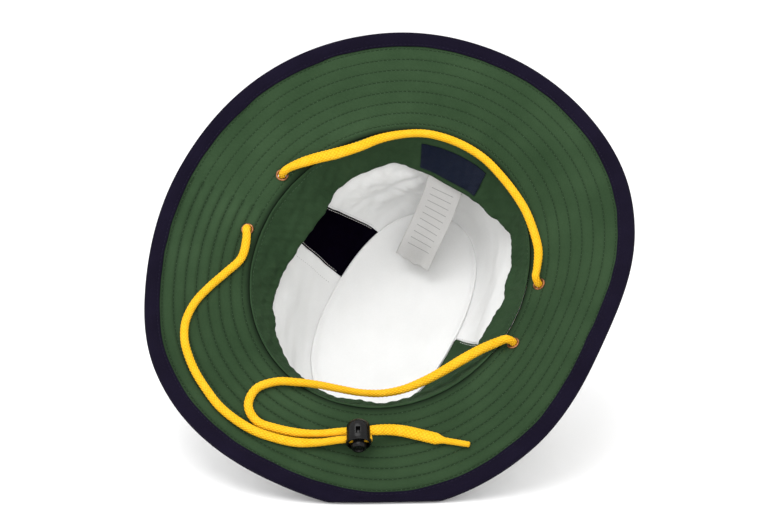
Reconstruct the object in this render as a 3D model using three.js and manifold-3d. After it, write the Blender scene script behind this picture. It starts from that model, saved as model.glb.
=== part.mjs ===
// A soft cloth sun hat with a chin cord, lying tipped on its brim edge and the edge of its crown.
// Hat axes: X to the wearer's left, Y to the wearer's back, Z up through the crown.
// The seam where crown and brim meet lies in the plane Z = 0, around the origin.
import * as THREE from 'three';
import { mergeVertices } from 'three/addons/utils/BufferGeometryUtils.js';
import Module from 'manifold-3d';

const wasm = await Module();
wasm.setup();

// Cloth and the gap left between neighbouring pieces
const CLOTH = 1.0;
const GAP = 0.3;
const SIDES_ROUND = 40; // facets around the hat

// Head opening, along the seam between crown and brim
const OPENING_WIDTH = 171;
const OPENING_LENGTH = 194;
const OPENING_EGG = -0.02; // the front half is a little broader than the back

// Brim, measured outwards from the seam
const BRIM_WIDTH = 67;
const BINDING_WIDTH = 10;
const BINDING_CLOTH = 0.8;
const STITCH_ROWS = 8;
const FIRST_ROW = 4.5;
const LAST_ROW = 55.6;
const ROW_DEPTH = 0.35; // how far a row of stitches pulls the cloth in

// Fall of the brim away from the crown, in degrees, by direction around the hat
const BRIM_FALL = [
  { at: 0, fall: 2.3 },
  { at: 30, fall: 14.8 },
  { at: 60, fall: 12.0 },
  { at: 90, fall: 4.6 },
  { at: 120, fall: 5.0 },
  { at: 150, fall: 20.0 },
  { at: 180, fall: 30.1 },
  { at: 210, fall: 16.5 },
  { at: 240, fall: 8.5 },
  { at: 270, fall: 17.4 },
  { at: 300, fall: 9.2 },
  { at: 330, fall: -6.1 },
];

// Crown: sections from the seam up to the tip, as shares of the crown height and of the opening.
// aside and back move a section's middle, square fills out its corners.
const CROWN_HEIGHT = 92;
const TIP_DOME = 7;
const CROWN_SECTIONS = [
  { rise: 0.0, width: 1.0, length: 1.0, aside: 0.0, back: 0.0, square: 2.0 },
  { rise: 0.3, width: 0.885, length: 0.955, aside: 0.0, back: 0.005, square: 2.0 },
  { rise: 0.62, width: 0.745, length: 0.905, aside: 0.015, back: 0.015, square: 2.1 },
  { rise: 0.88, width: 0.61, length: 0.865, aside: 0.035, back: 0.03, square: 2.2 },
  { rise: 1.0, width: 0.519, length: 0.8, aside: 0.05, back: 0.045, square: 2.3 },
];

// Soft dents in the crown wall: middle of each, its reach around and up, and its depth as a share
// of the crown height
const WALL_DENTS = [
  { at: 52, rise: 0.46, around: 24, up: 0.1, deep: 0.033 },
  { at: 75, rise: 0.66, around: 20, up: 0.12, deep: 0.022 },
  { at: 160, rise: 0.62, around: 30, up: 0.16, deep: 0.038 },
  { at: 335, rise: 0.6, around: 28, up: 0.18, deep: 0.027 },
];

// Dents in the tip, placed as shares of its half width and half length, with their depth as a share
// of the crown height
const TIP_DENTS = [
  { aside: -0.45, back: 0.3, reach: 0.4, deep: 0.043 },
  { aside: 0.3, back: -0.2, reach: 0.5, deep: 0.022 },
];

// Seams of the coloured wall panels, in degrees around the crown at three heights
const NAVY_FRONT_SEAM = [-3, 3, 6];
const NAVY_BACK_SEAM = [12, 24, 37];
const GREEN_BACK_SEAM = [196, 186, 179.5];
const GREEN_FRONT_SEAM = [238, 238, 232];

// Sweatband: a strip of the brim's cloth that stands off the crown wall
const SWEATBAND_HEIGHT = 27;
const SWEATBAND_CLOTH = 0.9;
const SWEATBAND_WIDTH_SHARE = 0.81;
const SWEATBAND_LENGTH_SHARE = 0.865;
// Waves of the sweatband's free edge, as shares of half the opening's width
const SWEATBAND_WAVES = [
  { at: 0, out: -0.047 },
  { at: 15, out: -0.058 },
  { at: 30, out: 0.023 },
  { at: 45, out: 0.041 },
  { at: 60, out: 0.047 },
  { at: 75, out: -0.029 },
  { at: 90, out: -0.082 },
  { at: 105, out: -0.076 },
  { at: 120, out: -0.035 },
  { at: 135, out: 0.045 },
  { at: 150, out: 0.04 },
  { at: 165, out: 0 },
  { at: 180, out: -0.018 },
  { at: 195, out: -0.009 },
  { at: 210, out: -0.012 },
  { at: 225, out: -0.004 },
  { at: 240, out: 0.006 },
  { at: 255, out: 0.008 },
  { at: 270, out: 0.012 },
  { at: 285, out: 0.026 },
  { at: 300, out: 0.047 },
  { at: 315, out: 0.041 },
  { at: 330, out: 0.041 },
  { at: 345, out: -0.006 },
];

// Labels sewn at the back
const WOVEN_LABEL = { length: 45, height: 16, at: 91, above: 8, thick: 0.6 };
const CARE_LABEL = {
  width: 25, length: 70, at: 89, thick: 0.5, tuck: 7, behind: 1.6, lean: 36, swing: -9,
};

// Brass eyelets and where they sit
const EYELET_HOLE = 2.7;
const EYELET_BARREL = 3.3;
const EYELET_FLANGE = 4.1;
const EYELET_THICK = 0.5;
const EYELET_OUT = 8.5;
const EYELETS = [
  { name: 'eyelet_left_back', at: 14.4 },
  { name: 'eyelet_left_front', at: -9.2 },
  { name: 'eyelet_right_back', at: 165.6 },
  { name: 'eyelet_right_front', at: 189.2 },
];

// Chin cord: points along its middle, with the hat at rest and the floor at Z = 0. It runs from its
// first free end through the lock, in and out of the four eyelets, and back through the lock.
const CORD_DIAMETER = 4.4;
const CORD_SIDES = 8;
const CORD_ROUTES = [
  { name: 'chin_cord_left', points: [
    [-2.2, -91.6, 30.3], [-19.8, -92.9, 29.5],
    [-33.3, -94.4, 27.8], [-46.9, -95.2, 27.7], [-60.3, -94.6, 30], [-73.3, -91.9, 33.3],
    [-85, -86.7, 37.9], [-95.5, -79.8, 43.4], [-104, -71.4, 49.9], [-111.7, -62.6, 57],
    [-117.8, -52.7, 64.2], [-122.1, -42.2, 71.7], [-122.8, -31.4, 80], [-118.6, -21.8, 88.6],
    [-110.4, -14.5, 96.8], [-100.7, -8.8, 104.6], [-91.5, -3, 112.8], [-89, 3.4, 123.7],
    [-89.5, 6.7, 128.6], [-89.6, 11.1, 128], [-89.5, 15.9, 123.7], [-88.2, 20.2, 123.2],
    [-80.1, 29, 137.8], [-72.3, 41.7, 149.4], [-70.6, 40.5, 153.4], [-70.2, 37.9, 155.2],
  ] },
  { name: 'chin_cord_back', points: [
    [-70.2, 37.7, 155.4], [-69.8, 35.3, 157.2], [-67.3, 33.5, 160.4], [-62.7, 36.7, 162.4],
    [-50.3, 43, 165.5], [-36.4, 46.8, 168.4], [-22.7, 50.8, 172], [-9.3, 54.5, 176.6],
    [5, 56.5, 179.4], [19.6, 56.8, 180.1], [33.9, 54.5, 177.7], [47.2, 50.3, 173.2],
    [59.1, 44.6, 166.8], [69, 37.4, 158.7], [77.8, 29.6, 149.9], [85.2, 21, 140.7],
    [90.4, 11.3, 130.9], [93.8, 1.1, 121], [93.2, -10.6, 112.5], [92.5, -15.3, 108.9],
    [94, -15, 104.7], [95.3, -13.1, 102.8],
  ] },
  { name: 'chin_cord_right', points: [
    [95.4, -13, 102.6], [96.9, -11, 100.5], [97.6, -10.5, 96.1], [89.9, -24.1, 84.8],
    [84.2, -34.4, 69.5], [81.7, -38.1, 70.5], [79.2, -41.3, 75.5], [75.3, -42.6, 77.3],
    [70.2, -41.1, 74.7], [59.6, -37, 68], [48.2, -38.7, 61.5], [37, -41.3, 54.9],
    [25.4, -43.9, 49], [13.3, -46.7, 44.5], [0.4, -48.8, 42.3], [-12.7, -50.5, 43],
    [-25.4, -53, 46], [-37.5, -56.9, 49.8], [-50, -60.2, 52.4], [-63.2, -61.4, 52.9],
    [-74.6, -66.9, 50.1], [-78.2, -77.3, 43.3], [-71.9, -86.2, 36.8], [-59.5, -88.9, 33.5],
    [-46.4, -89.3, 31.4], [-33.3, -89.8, 31.6], [-20.2, -90.4, 33.6], [-1.3, -88.9, 34.4],
    [4.3, -86, 33.7], [10.7, -83.5, 32.6], [17.2, -82.7, 31.5], [23.8, -83.2, 30.3],
    [29.9, -84.3, 29.4], [35.3, -85.8, 28.8], [40.8, -87.4, 28.4], [48.3, -89.5, 28.2],
    [55.8, -91.8, 28.1],
  ] },
];

// Cord lock: a button sprung in a barrel, and both strands squeezed between them. Sizes along the
// button's travel are measured from the closed end of the barrel.
const LOCK_PLACE = [-11.4, -83.2, 37.7];
const LOCK_ALONG_CORD = [-0.9957, -0.0816, -0.0444];
const LOCK_TRAVEL = [0.092, -0.7996, -0.5934];
const BARREL_RADIUS = 7.8;
const BARREL_LENGTH = 15.5;
const BARREL_END_WALL = 1.6;
const BARREL_WALL = 2.2;
const BUTTON_LENGTH = 15.7;
const BUTTON_TRAVEL = 2;
const BUTTON_LAND = 1;
const BUTTON_HEAD = 3.1;
const BUTTON_NECK = { radius: 4.6, from: 12.6, to: 13.3 };
const FOOT_BEVEL = 2;
const STRANDS_DEEP = 8.8;
const STRANDS_WIDE = 6.2;
const LATCH_WINDOW = { width: 2.8, from: 8, to: 12.8 };
const LOCK_SIDES = 20;

// How the hat rests: the wearer's back is uppermost, turned a little to one side, and the floor
// presses this deep into the soft cloth
const REST_TURN = 203.8;
const FLOOR_PRESS = 3.5;

const white = new THREE.MeshStandardMaterial({ color: 0xf2f1ee, roughness: 0.9, metalness: 0 });
const green = new THREE.MeshStandardMaterial({ color: 0x3b5539, roughness: 0.9, metalness: 0 });
const navy = new THREE.MeshStandardMaterial({ color: 0x17122a, roughness: 0.85, metalness: 0 });
const yellow = new THREE.MeshStandardMaterial({ color: 0xf0b820, roughness: 0.8, metalness: 0 });
const brass = new THREE.MeshStandardMaterial({ color: 0x9a6a3c, roughness: 0.4, metalness: 1 });
const black = new THREE.MeshStandardMaterial({ color: 0x0b0b0b, roughness: 0.25, metalness: 0 });

const radians = THREE.MathUtils.degToRad;
const lerp = THREE.MathUtils.lerp;

// Value of a column of a table whose rows stand at even directions around the hat
function aroundTable(rows, column, degrees) {
  const step = 360 / rows.length;
  const place = THREE.MathUtils.euclideanModulo(degrees, 360) / step;
  const row = Math.floor(place);
  const value = (offset) => rows[(row + offset + rows.length) % rows.length][column];
  const s = place - row;
  const a = value(-1);
  const b = value(0);
  const c = value(1);
  const d = value(2);
  return b + 0.5 * s * (c - a + s * (2 * a - 5 * b + 4 * c - d + s * (3 * (b - c) + d - a)));
}

// Half oval point: square 2 is an ellipse, larger values are fuller at the corners
function oval(halfWidth, halfLength, square, degrees) {
  const c = Math.cos(radians(degrees));
  const s = Math.sin(radians(degrees));
  const reach = (Math.abs(c) ** square + Math.abs(s) ** square) ** (-1 / square);
  return new THREE.Vector2(halfWidth * c * reach, halfLength * s * reach);
}

// Point on the seam, and the direction that leads straight out from it
function seamPoint(degrees) {
  const p = oval(OPENING_WIDTH / 2, OPENING_LENGTH / 2, 2, degrees);
  p.x *= 1 + OPENING_EGG * Math.sin(radians(degrees));
  return p;
}

function seamOutward(degrees) {
  const along = seamPoint(degrees + 0.5).sub(seamPoint(degrees - 0.5));
  return new THREE.Vector2(along.y, -along.x).normalize();
}

// Brim: out runs along the cloth from the seam, lift stands off its underside towards the crown
function brimPoint(degrees, out, lift) {
  const fall = radians(aroundTable(BRIM_FALL, 'fall', degrees));
  const seam = seamPoint(degrees);
  const outward = seamOutward(degrees);
  const flat = out * Math.cos(fall) + lift * Math.sin(fall);
  return new THREE.Vector3(
    seam.x + outward.x * flat,
    seam.y + outward.y * flat,
    lift * Math.cos(fall) - out * Math.sin(fall),
  );
}

function brimNormal(degrees, out) {
  return brimPoint(degrees, out, 1).sub(brimPoint(degrees, out, 0));
}

// Crown wall: a smooth run through the sections
function wallPoint(degrees, share) {
  const rows = CROWN_SECTIONS;
  const row = Math.min(rows.findIndex((r, i) => i > 0 && share <= r.rise + 1e-9), rows.length - 1) - 1;
  const below = rows[Math.max(row - 1, 0)];
  const here = rows[row];
  const next = rows[row + 1];
  const above = rows[Math.min(row + 2, rows.length - 1)];
  const s = (share - here.rise) / (next.rise - here.rise);
  const column = (name) => {
    const slopeHere = (next[name] - below[name]) / (next.rise - below.rise);
    const slopeNext = (above[name] - here[name]) / (above.rise - here.rise);
    const span = next.rise - here.rise;
    return (2 * s ** 3 - 3 * s ** 2 + 1) * here[name] + (s ** 3 - 2 * s ** 2 + s) * span * slopeHere
      + (3 * s ** 2 - 2 * s ** 3) * next[name] + (s ** 3 - s ** 2) * span * slopeNext;
  };
  const p = oval(column('width') * OPENING_WIDTH / 2, column('length') * OPENING_LENGTH / 2,
    column('square'), degrees);
  p.x *= 1 + OPENING_EGG * Math.sin(radians(degrees));
  let dent = 0;
  for (const d of WALL_DENTS) {
    const around = (THREE.MathUtils.euclideanModulo(degrees - d.at + 180, 360) - 180) / d.around;
    const up = (share - d.rise) / d.up;
    dent += d.deep * CROWN_HEIGHT * Math.exp(-around * around - up * up);
  }
  const inward = 1 - dent / p.length();
  return new THREE.Vector3(
    p.x * inward + column('aside') * OPENING_WIDTH / 2,
    p.y * inward + column('back') * OPENING_LENGTH / 2,
    share * CROWN_HEIGHT,
  );
}

// Point off a surface, at a distance along its outward normal
function offset(surface, u, v, distance, step) {
  const du = surface(u + step.u, v).sub(surface(u - step.u, v));
  const vHigh = Math.min(v + step.v, step.vMax);
  const vLow = Math.max(v - step.v, step.vMin);
  const dv = surface(u, vHigh).sub(surface(u, vLow));
  return surface(u, v).addScaledVector(du.cross(dv).normalize(), distance);
}

const WALL_STEP = { u: 0.5, v: 0.01, vMin: 0, vMax: 1 };
const wallOffset = (degrees, share, distance) => offset(wallPoint, degrees, share, distance, WALL_STEP);

// Sweatband: height up the band from 0 to 1
function bandPoint(degrees, share) {
  const inset = SWEATBAND_CLOTH + GAP;
  const seam = seamPoint(degrees).addScaledVector(seamOutward(degrees), -inset);
  const edge = oval(SWEATBAND_WIDTH_SHARE * OPENING_WIDTH / 2, SWEATBAND_LENGTH_SHARE * OPENING_LENGTH / 2,
    2, degrees);
  const wave = aroundTable(SWEATBAND_WAVES, 'out', degrees) * OPENING_WIDTH / 2;
  edge.multiplyScalar(1 + wave / edge.length());
  const s = share ** 1.15;
  return new THREE.Vector3(lerp(seam.x, edge.x, s), lerp(seam.y, edge.y, s), SWEATBAND_HEIGHT * share);
}

const BAND_STEP = { u: 0.5, v: 0.02, vMin: 0, vMax: 1 };
const bandOffset = (degrees, share, distance) => offset(bandPoint, degrees, share, distance, BAND_STEP);

// Tip of the crown: a shallow dome inside the top of the wall. share runs from the middle to the edge.
function tipPoint(degrees, share, lift) {
  const rim = wallPoint(degrees, 1);
  const last = CROWN_SECTIONS[CROWN_SECTIONS.length - 1];
  const middle = new THREE.Vector2(last.aside * OPENING_WIDTH / 2, last.back * OPENING_LENGTH / 2);
  const reach = new THREE.Vector2(rim.x - middle.x, rim.y - middle.y);
  const inset = 1 - 1.5 * GAP / reach.length();
  const half = { x: last.width * OPENING_WIDTH / 2, y: last.length * OPENING_LENGTH / 2 };
  const x = reach.x * share * inset;
  const y = reach.y * share * inset;
  let z = CROWN_HEIGHT - CLOTH + TIP_DOME * (1 - share ** 2.2) + lift;
  for (const d of TIP_DENTS) {
    const far = Math.hypot(x / half.x - d.aside, y / half.y - d.back) / d.reach;
    z -= d.deep * CROWN_HEIGHT * Math.exp(-far * far) * (1 - share ** 4);
  }
  return new THREE.Vector3(middle.x + x, middle.y + y, z);
}

// Resting pose: the hat leans until the brim edge and the crown reach the floor together
function restingLean() {
  const ring = Array.from({ length: 360 }, (_, i) => i);
  const turn = new THREE.Matrix4().makeRotationZ(radians(REST_TURN));
  const brim = ring.map((d) => brimPoint(d, BRIM_WIDTH, CLOTH).applyMatrix4(turn));
  const crown = [0.8, 0.88, 0.95, 1].flatMap((share) => (
    ring.map((d) => wallOffset(d, share, CLOTH).applyMatrix4(turn))));
  const lowest = (points, lean) => Math.min(...points.map((p) => (
    p.y * Math.sin(lean) + p.z * Math.cos(lean))));
  let flat = radians(-179);
  let steep = radians(-91);
  for (let i = 0; i < 40; i += 1) {
    const middle = (flat + steep) / 2;
    if (lowest(crown, middle) < lowest(brim, middle)) flat = middle;
    else steep = middle;
  }
  return { lean: flat, low: lowest(brim, flat) };
}

const rest = restingLean();
const hatTurn = new THREE.Group();
hatTurn.rotation.z = radians(REST_TURN);
const hatLean = new THREE.Group();
hatLean.rotation.x = rest.lean;
hatLean.add(hatTurn);

// Unit vector up from the floor in hat axes, and the height of the floor along it
const up = new THREE.Vector3(0, 0, 1)
  .applyAxisAngle(new THREE.Vector3(1, 0, 0), -rest.lean)
  .applyAxisAngle(new THREE.Vector3(0, 0, 1), -radians(REST_TURN));
const floor = rest.low + FLOOR_PRESS;

// The floor flattens cloth that would sink below it. stack is the depth of cloth under the point.
function press(point, stack) {
  const height = point.dot(up) - floor;
  return height < stack ? point.addScaledVector(up, stack - height) : point;
}

// Closed body from grids of points: faces listed so that they point outwards
function body(name, material, points, triangles) {
  const geometry = new THREE.BufferGeometry();
  geometry.setAttribute('position', new THREE.Float32BufferAttribute(points.flatMap((p) => p.toArray()), 3));
  geometry.setIndex(triangles);
  geometry.computeVertexNormals();
  const mesh = new THREE.Mesh(geometry, material);
  mesh.name = name;
  return mesh;
}

// A closed skin swept around the hat. section(degrees) gives a closed loop of points that runs
// outwards along its lower side and back along its upper side. Each quad is split along the
// diagonal that leads outwards, so that layers of cloth lie parallel.
function ringBody(name, material, section) {
  const loops = Array.from({ length: SIDES_ROUND }, (_, i) => section((i * 360) / SIDES_ROUND));
  const n = loops[0].length;
  const triangles = [];
  for (let i = 0; i < SIDES_ROUND; i += 1) {
    for (let j = 0; j < n; j += 1) {
      const a = i * n + j;
      const b = i * n + ((j + 1) % n);
      const c = ((i + 1) % SIDES_ROUND) * n + ((j + 1) % n);
      const d = ((i + 1) % SIDES_ROUND) * n + j;
      const p = loops[i][j];
      const q = loops[i][(j + 1) % n];
      const outwards = Math.hypot(q.x, q.y) > Math.hypot(p.x, p.y);
      if (outwards) triangles.push(a, c, b, a, d, c);
      else triangles.push(a, d, b, b, d, c);
    }
  }
  return body(name, material, loops.flat(), triangles);
}

// A closed patch of cloth between two faces, each a function of (u, v) with u and v from 0 to 1
function patchBody(name, material, inner, outer, across, along) {
  const points = [];
  for (const face of [inner, outer]) {
    for (let i = 0; i <= across; i += 1) {
      for (let j = 0; j <= along; j += 1) points.push(face(i / across, j / along));
    }
  }
  const at = (face, i, j) => (face * (across + 1) + i) * (along + 1) + j;
  const triangles = [];
  const quad = (a, b, c, d) => triangles.push(a, b, c, a, c, d);
  for (let i = 0; i < across; i += 1) {
    for (let j = 0; j < along; j += 1) {
      quad(at(0, i, j), at(0, i, j + 1), at(0, i + 1, j + 1), at(0, i + 1, j));
      quad(at(1, i, j), at(1, i + 1, j), at(1, i + 1, j + 1), at(1, i, j + 1));
    }
    quad(at(0, i, 0), at(0, i + 1, 0), at(1, i + 1, 0), at(1, i, 0));
    quad(at(0, i, along), at(1, i, along), at(1, i + 1, along), at(0, i + 1, along));
  }
  for (let j = 0; j < along; j += 1) {
    quad(at(0, 0, j), at(1, 0, j), at(1, 0, j + 1), at(0, 0, j + 1));
    quad(at(0, across, j), at(0, across, j + 1), at(1, across, j + 1), at(1, across, j));
  }
  return body(name, material, points, triangles);
}

// Booleans on closed meshes
function solid(geometry) {
  const bare = geometry.clone();
  for (const name of Object.keys(bare.attributes)) if (name !== 'position') bare.deleteAttribute(name);
  const merged = mergeVertices(bare, 1e-5);
  return new wasm.Manifold(new wasm.Mesh({
    numProp: 3,
    vertProperties: new Float32Array(merged.attributes.position.array),
    triVerts: new Uint32Array(merged.index.array),
  }));
}

function fromSolid(manifold) {
  const mesh = manifold.getMesh();
  const geometry = new THREE.BufferGeometry();
  geometry.setAttribute('position', new THREE.BufferAttribute(mesh.vertProperties, 3));
  geometry.setIndex(new THREE.BufferAttribute(mesh.triVerts, 1));
  geometry.computeVertexNormals();
  return geometry;
}

// Depth of the stitched channels at a distance out from the seam: deepest on a row
const rowSpacing = (LAST_ROW - FIRST_ROW) / (STITCH_ROWS - 1);
const stitchRows = Array.from({ length: STITCH_ROWS }, (_, i) => FIRST_ROW + i * rowSpacing);

// Distances out from the seam where layers under the binding share their creases
const BRIM_EDGE = BRIM_WIDTH - BINDING_CLOTH - GAP;
const HEM_CREASES = [BRIM_WIDTH - BINDING_WIDTH, BRIM_WIDTH - 0.35 * BINDING_WIDTH];

function channelStations() {
  const stations = [{ out: 0, dip: 0 }];
  stitchRows.forEach((row, i) => {
    stations.push({ out: row, dip: ROW_DEPTH });
    if (i < STITCH_ROWS - 1) stations.push({ out: row + rowSpacing / 2, dip: 0 });
  });
  HEM_CREASES.forEach((out) => stations.push({ out, dip: 0 }));
  stations.push({ out: BRIM_EDGE, dip: 0 });
  return stations;
}

// Pile of the brim's layers where the floor flattens its edge, floor upwards
const BRIM_THICK = 2 * CLOTH + GAP;
const PILE = 0.6; // layers lie at a slant there, so they pile up less high than they are thick
const pileBinding = 0;
const pileBindingInside = PILE * BINDING_CLOTH;
const pileTop = pileBindingInside + PILE * GAP;
const pileTopInside = pileTop + PILE * CLOTH;
const pileUnderInside = pileTopInside + PILE * GAP;
const pileUnder = pileUnderInside + PILE * CLOTH;
const pileWingInside = pileUnder + PILE * GAP;
const pileWing = pileWingInside + PILE * BINDING_CLOTH;

// Two layers of brim cloth, stitched through in rows: green below, white above
function brimLayer(name, material, { lift, side, pile, pileInside }) {
  const plain = [BRIM_EDGE, HEM_CREASES[1], HEM_CREASES[0], BRIM_WIDTH / 2, 0];
  const shown = channelStations();
  return ringBody(name, material, (degrees) => {
    const face = shown.map((s) => press(brimPoint(degrees, s.out, lift - side * s.dip), pile));
    const back = plain.map((out) => press(brimPoint(degrees, out, lift - side * CLOTH), pileInside));
    const loop = [...face, ...back];
    return side > 0 ? loop.reverse() : loop;
  });
}

const eyeletPlaces = EYELETS.map((e) => ({
  name: e.name,
  middle: brimPoint(e.at, EYELET_OUT, 0),
  axis: brimNormal(e.at, EYELET_OUT),
}));

// Brim cloth with the eyelet holes punched through it
function punched(mesh) {
  let cloth = solid(mesh.geometry);
  for (const place of eyeletPlaces) {
    const punch = new THREE.CylinderGeometry(EYELET_BARREL + GAP, EYELET_BARREL + GAP, 12, 16);
    punch.applyQuaternion(new THREE.Quaternion().setFromUnitVectors(new THREE.Vector3(0, 1, 0), place.axis));
    punch.translate(place.middle.x, place.middle.y, place.middle.z);
    cloth = cloth.subtract(solid(punch));
  }
  mesh.geometry = fromSolid(cloth);
  return mesh;
}

function makeBrim() {
  return [
    punched(brimLayer('brim_underside', green, { lift: 0, side: -1, pile: pileUnder, pileInside: pileUnderInside })),
    punched(brimLayer('brim_top', white, {
      lift: BRIM_THICK, side: 1, pile: pileTop, pileInside: pileTopInside,
    })),
  ];
}

// Binding: a strip folded over the brim's edge, its ends turned in on both faces
function makeBinding() {
  const inner = BRIM_WIDTH - BINDING_WIDTH;
  const crease = HEM_CREASES[1];
  const round = BINDING_CLOTH / 2;
  const low = -GAP;
  const high = BRIM_THICK + GAP;
  const section = [
    { out: inner, lift: low - BINDING_CLOTH, pile: pileWing },
    { out: crease, lift: low - BINDING_CLOTH, pile: pileWing },
    { out: BRIM_WIDTH - round, lift: low - BINDING_CLOTH, pile: pileWing },
    { out: BRIM_WIDTH, lift: low, pile: pileUnderInside },
    { out: BRIM_WIDTH, lift: high, pile: pileBinding },
    { out: BRIM_WIDTH - round, lift: high + BINDING_CLOTH, pile: pileBinding },
    { out: crease, lift: high + BINDING_CLOTH, pile: pileBinding },
    { out: inner, lift: high + BINDING_CLOTH, pile: pileBinding },
    { out: inner, lift: high, pile: pileBindingInside },
    { out: crease, lift: high, pile: pileBindingInside },
    { out: BRIM_WIDTH - BINDING_CLOTH, lift: high, pile: pileBindingInside },
    { out: BRIM_WIDTH - BINDING_CLOTH, lift: low, pile: pileWingInside },
    { out: crease, lift: low, pile: pileWingInside },
    { out: inner, lift: low, pile: pileWingInside },
  ];
  return ringBody('brim_binding', navy, (degrees) => (
    section.map((s) => press(brimPoint(degrees, s.out, s.lift), s.pile))));
}

// Crown wall: four panels that meet at seams
const WALL_START = (BRIM_THICK + 1.5 * GAP) / CROWN_HEIGHT;
const WALL_ROWS = [0, 0.15, 0.3, 0.45, 0.6, 0.73, 0.86, 0.975, 1];
const SEAM_GAP = 0.12; // half of the gap between panels, in degrees around

function seamAt([low, middle, high], share) {
  const a = 2 * low - 4 * middle + 2 * high;
  return low + (high - low - a) * share + a * share * share;
}

const turnedOnce = (seam) => seam.map((degrees) => degrees + 360);
const PANELS = [
  { name: 'crown_wall_navy', cloth: navy, from: NAVY_FRONT_SEAM, to: NAVY_BACK_SEAM },
  { name: 'crown_wall_back', cloth: white, from: NAVY_BACK_SEAM, to: GREEN_BACK_SEAM },
  { name: 'crown_wall_green', cloth: green, from: GREEN_BACK_SEAM, to: GREEN_FRONT_SEAM },
  { name: 'crown_wall_front', cloth: white, from: GREEN_FRONT_SEAM, to: turnedOnce(NAVY_FRONT_SEAM) },
];

function panelFacets(panel) {
  return Math.max(2, Math.round(((panel.to[1] - panel.from[1]) * SIDES_ROUND) / 360));
}

// Direction around the crown of a point u of the way across a panel
function panelAngle(panel, u, share) {
  return lerp(seamAt(panel.from, share) + SEAM_GAP, seamAt(panel.to, share) - SEAM_GAP, u);
}

function wallPanel(panel) {
  const last = WALL_ROWS.length - 1;
  const height = (v) => lerp(WALL_START, 1, WALL_ROWS[Math.round(v * last)]);
  const inner = (u, v) => (
    press(wallPoint(panelAngle(panel, u, height(v)), height(v)), PILE * CLOTH));
  const outer = (u, v) => (
    press(wallOffset(panelAngle(panel, u, height(v)), height(v), CLOTH), 0));
  return patchBody(panel.name, panel.cloth, inner, outer, panelFacets(panel), last);
}

// Tip: rings of points from the middle out, on both faces. Its corners stand beside the wall's.
const TIP_RINGS = [0.28, 0.55, 0.8, 1];

function makeTip() {
  const angles = PANELS.flatMap((panel) => {
    const facets = panelFacets(panel);
    return Array.from({ length: facets }, (_, i) => panelAngle(panel, i / facets, 1));
  });
  const sides = angles.length;
  const lastRing = TIP_RINGS.length - 1;
  // The edge is carried up with the top of the wall where the floor presses it
  const carried = angles.map((degrees) => (
    press(wallPoint(degrees, 1), PILE * CLOTH).sub(wallPoint(degrees, 1))));
  const points = [];
  for (const lift of [0, CLOTH]) {
    points.push(tipPoint(0, 0, lift));
    TIP_RINGS.forEach((ring, r) => angles.forEach((degrees, i) => {
      const point = tipPoint(degrees, ring, lift);
      points.push(r === lastRing ? point.add(carried[i]) : point);
    }));
  }
  const perFace = 1 + TIP_RINGS.length * sides;
  const at = (face, ring, i) => face * perFace + 1 + ring * sides + (i % sides);
  const triangles = [];
  for (let i = 0; i < sides; i += 1) {
    triangles.push(0, at(0, 0, i + 1), at(0, 0, i));
    triangles.push(perFace, at(1, 0, i), at(1, 0, i + 1));
    for (let r = 0; r < lastRing; r += 1) {
      triangles.push(at(0, r, i), at(0, r, i + 1), at(0, r + 1, i + 1));
      triangles.push(at(0, r, i), at(0, r + 1, i + 1), at(0, r + 1, i));
      triangles.push(at(1, r, i), at(1, r + 1, i + 1), at(1, r, i + 1));
      triangles.push(at(1, r, i), at(1, r + 1, i), at(1, r + 1, i + 1));
    }
    triangles.push(at(0, lastRing, i), at(0, lastRing, i + 1), at(1, lastRing, i + 1));
    triangles.push(at(0, lastRing, i), at(1, lastRing, i + 1), at(1, lastRing, i));
  }
  return body('crown_tip', white, points, triangles);
}

// Sweatband
const BAND_SHARES = [0, 0.35, 0.7, 1];

function makeSweatband() {
  return ringBody('sweatband', green, (degrees) => [
    ...BAND_SHARES.map((share) => bandOffset(degrees, share, SWEATBAND_CLOTH)),
    ...[...BAND_SHARES].reverse().map((share) => bandPoint(degrees, share)),
  ]);
}

// Woven label, sewn flat on the shown face of the sweatband
function makeWovenLabel() {
  const label = WOVEN_LABEL;
  const perDegree = bandPoint(label.at + 0.5, 0.5).distanceTo(bandPoint(label.at - 0.5, 0.5));
  const half = label.length / 2 / perDegree;
  const step = 360 / SIDES_ROUND;
  const facet = (degrees, share, distance) => {
    const before = Math.floor(degrees / step) * step;
    const a = bandOffset(before, share, distance);
    return a.lerp(bandOffset(before + step, share, distance), (degrees - before) / step);
  };
  const stations = [label.at - half];
  for (let d = Math.ceil((label.at - half) / step) * step; d < label.at + half; d += step) stations.push(d);
  stations.push(label.at + half);
  const low = label.above / SWEATBAND_HEIGHT;
  const high = (label.above + label.height) / SWEATBAND_HEIGHT;
  const heights = [low, ...BAND_SHARES.filter((s) => s > low && s < high), high];
  const off = 2.7 * GAP;
  const face = (distance) => (u, v) => facet(
    stations[Math.round(u * (stations.length - 1))], heights[Math.round(v * (heights.length - 1))], distance);
  return patchBody('woven_label', navy, face(-off - label.thick), face(-off),
    stations.length - 1, heights.length - 1);
}

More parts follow.
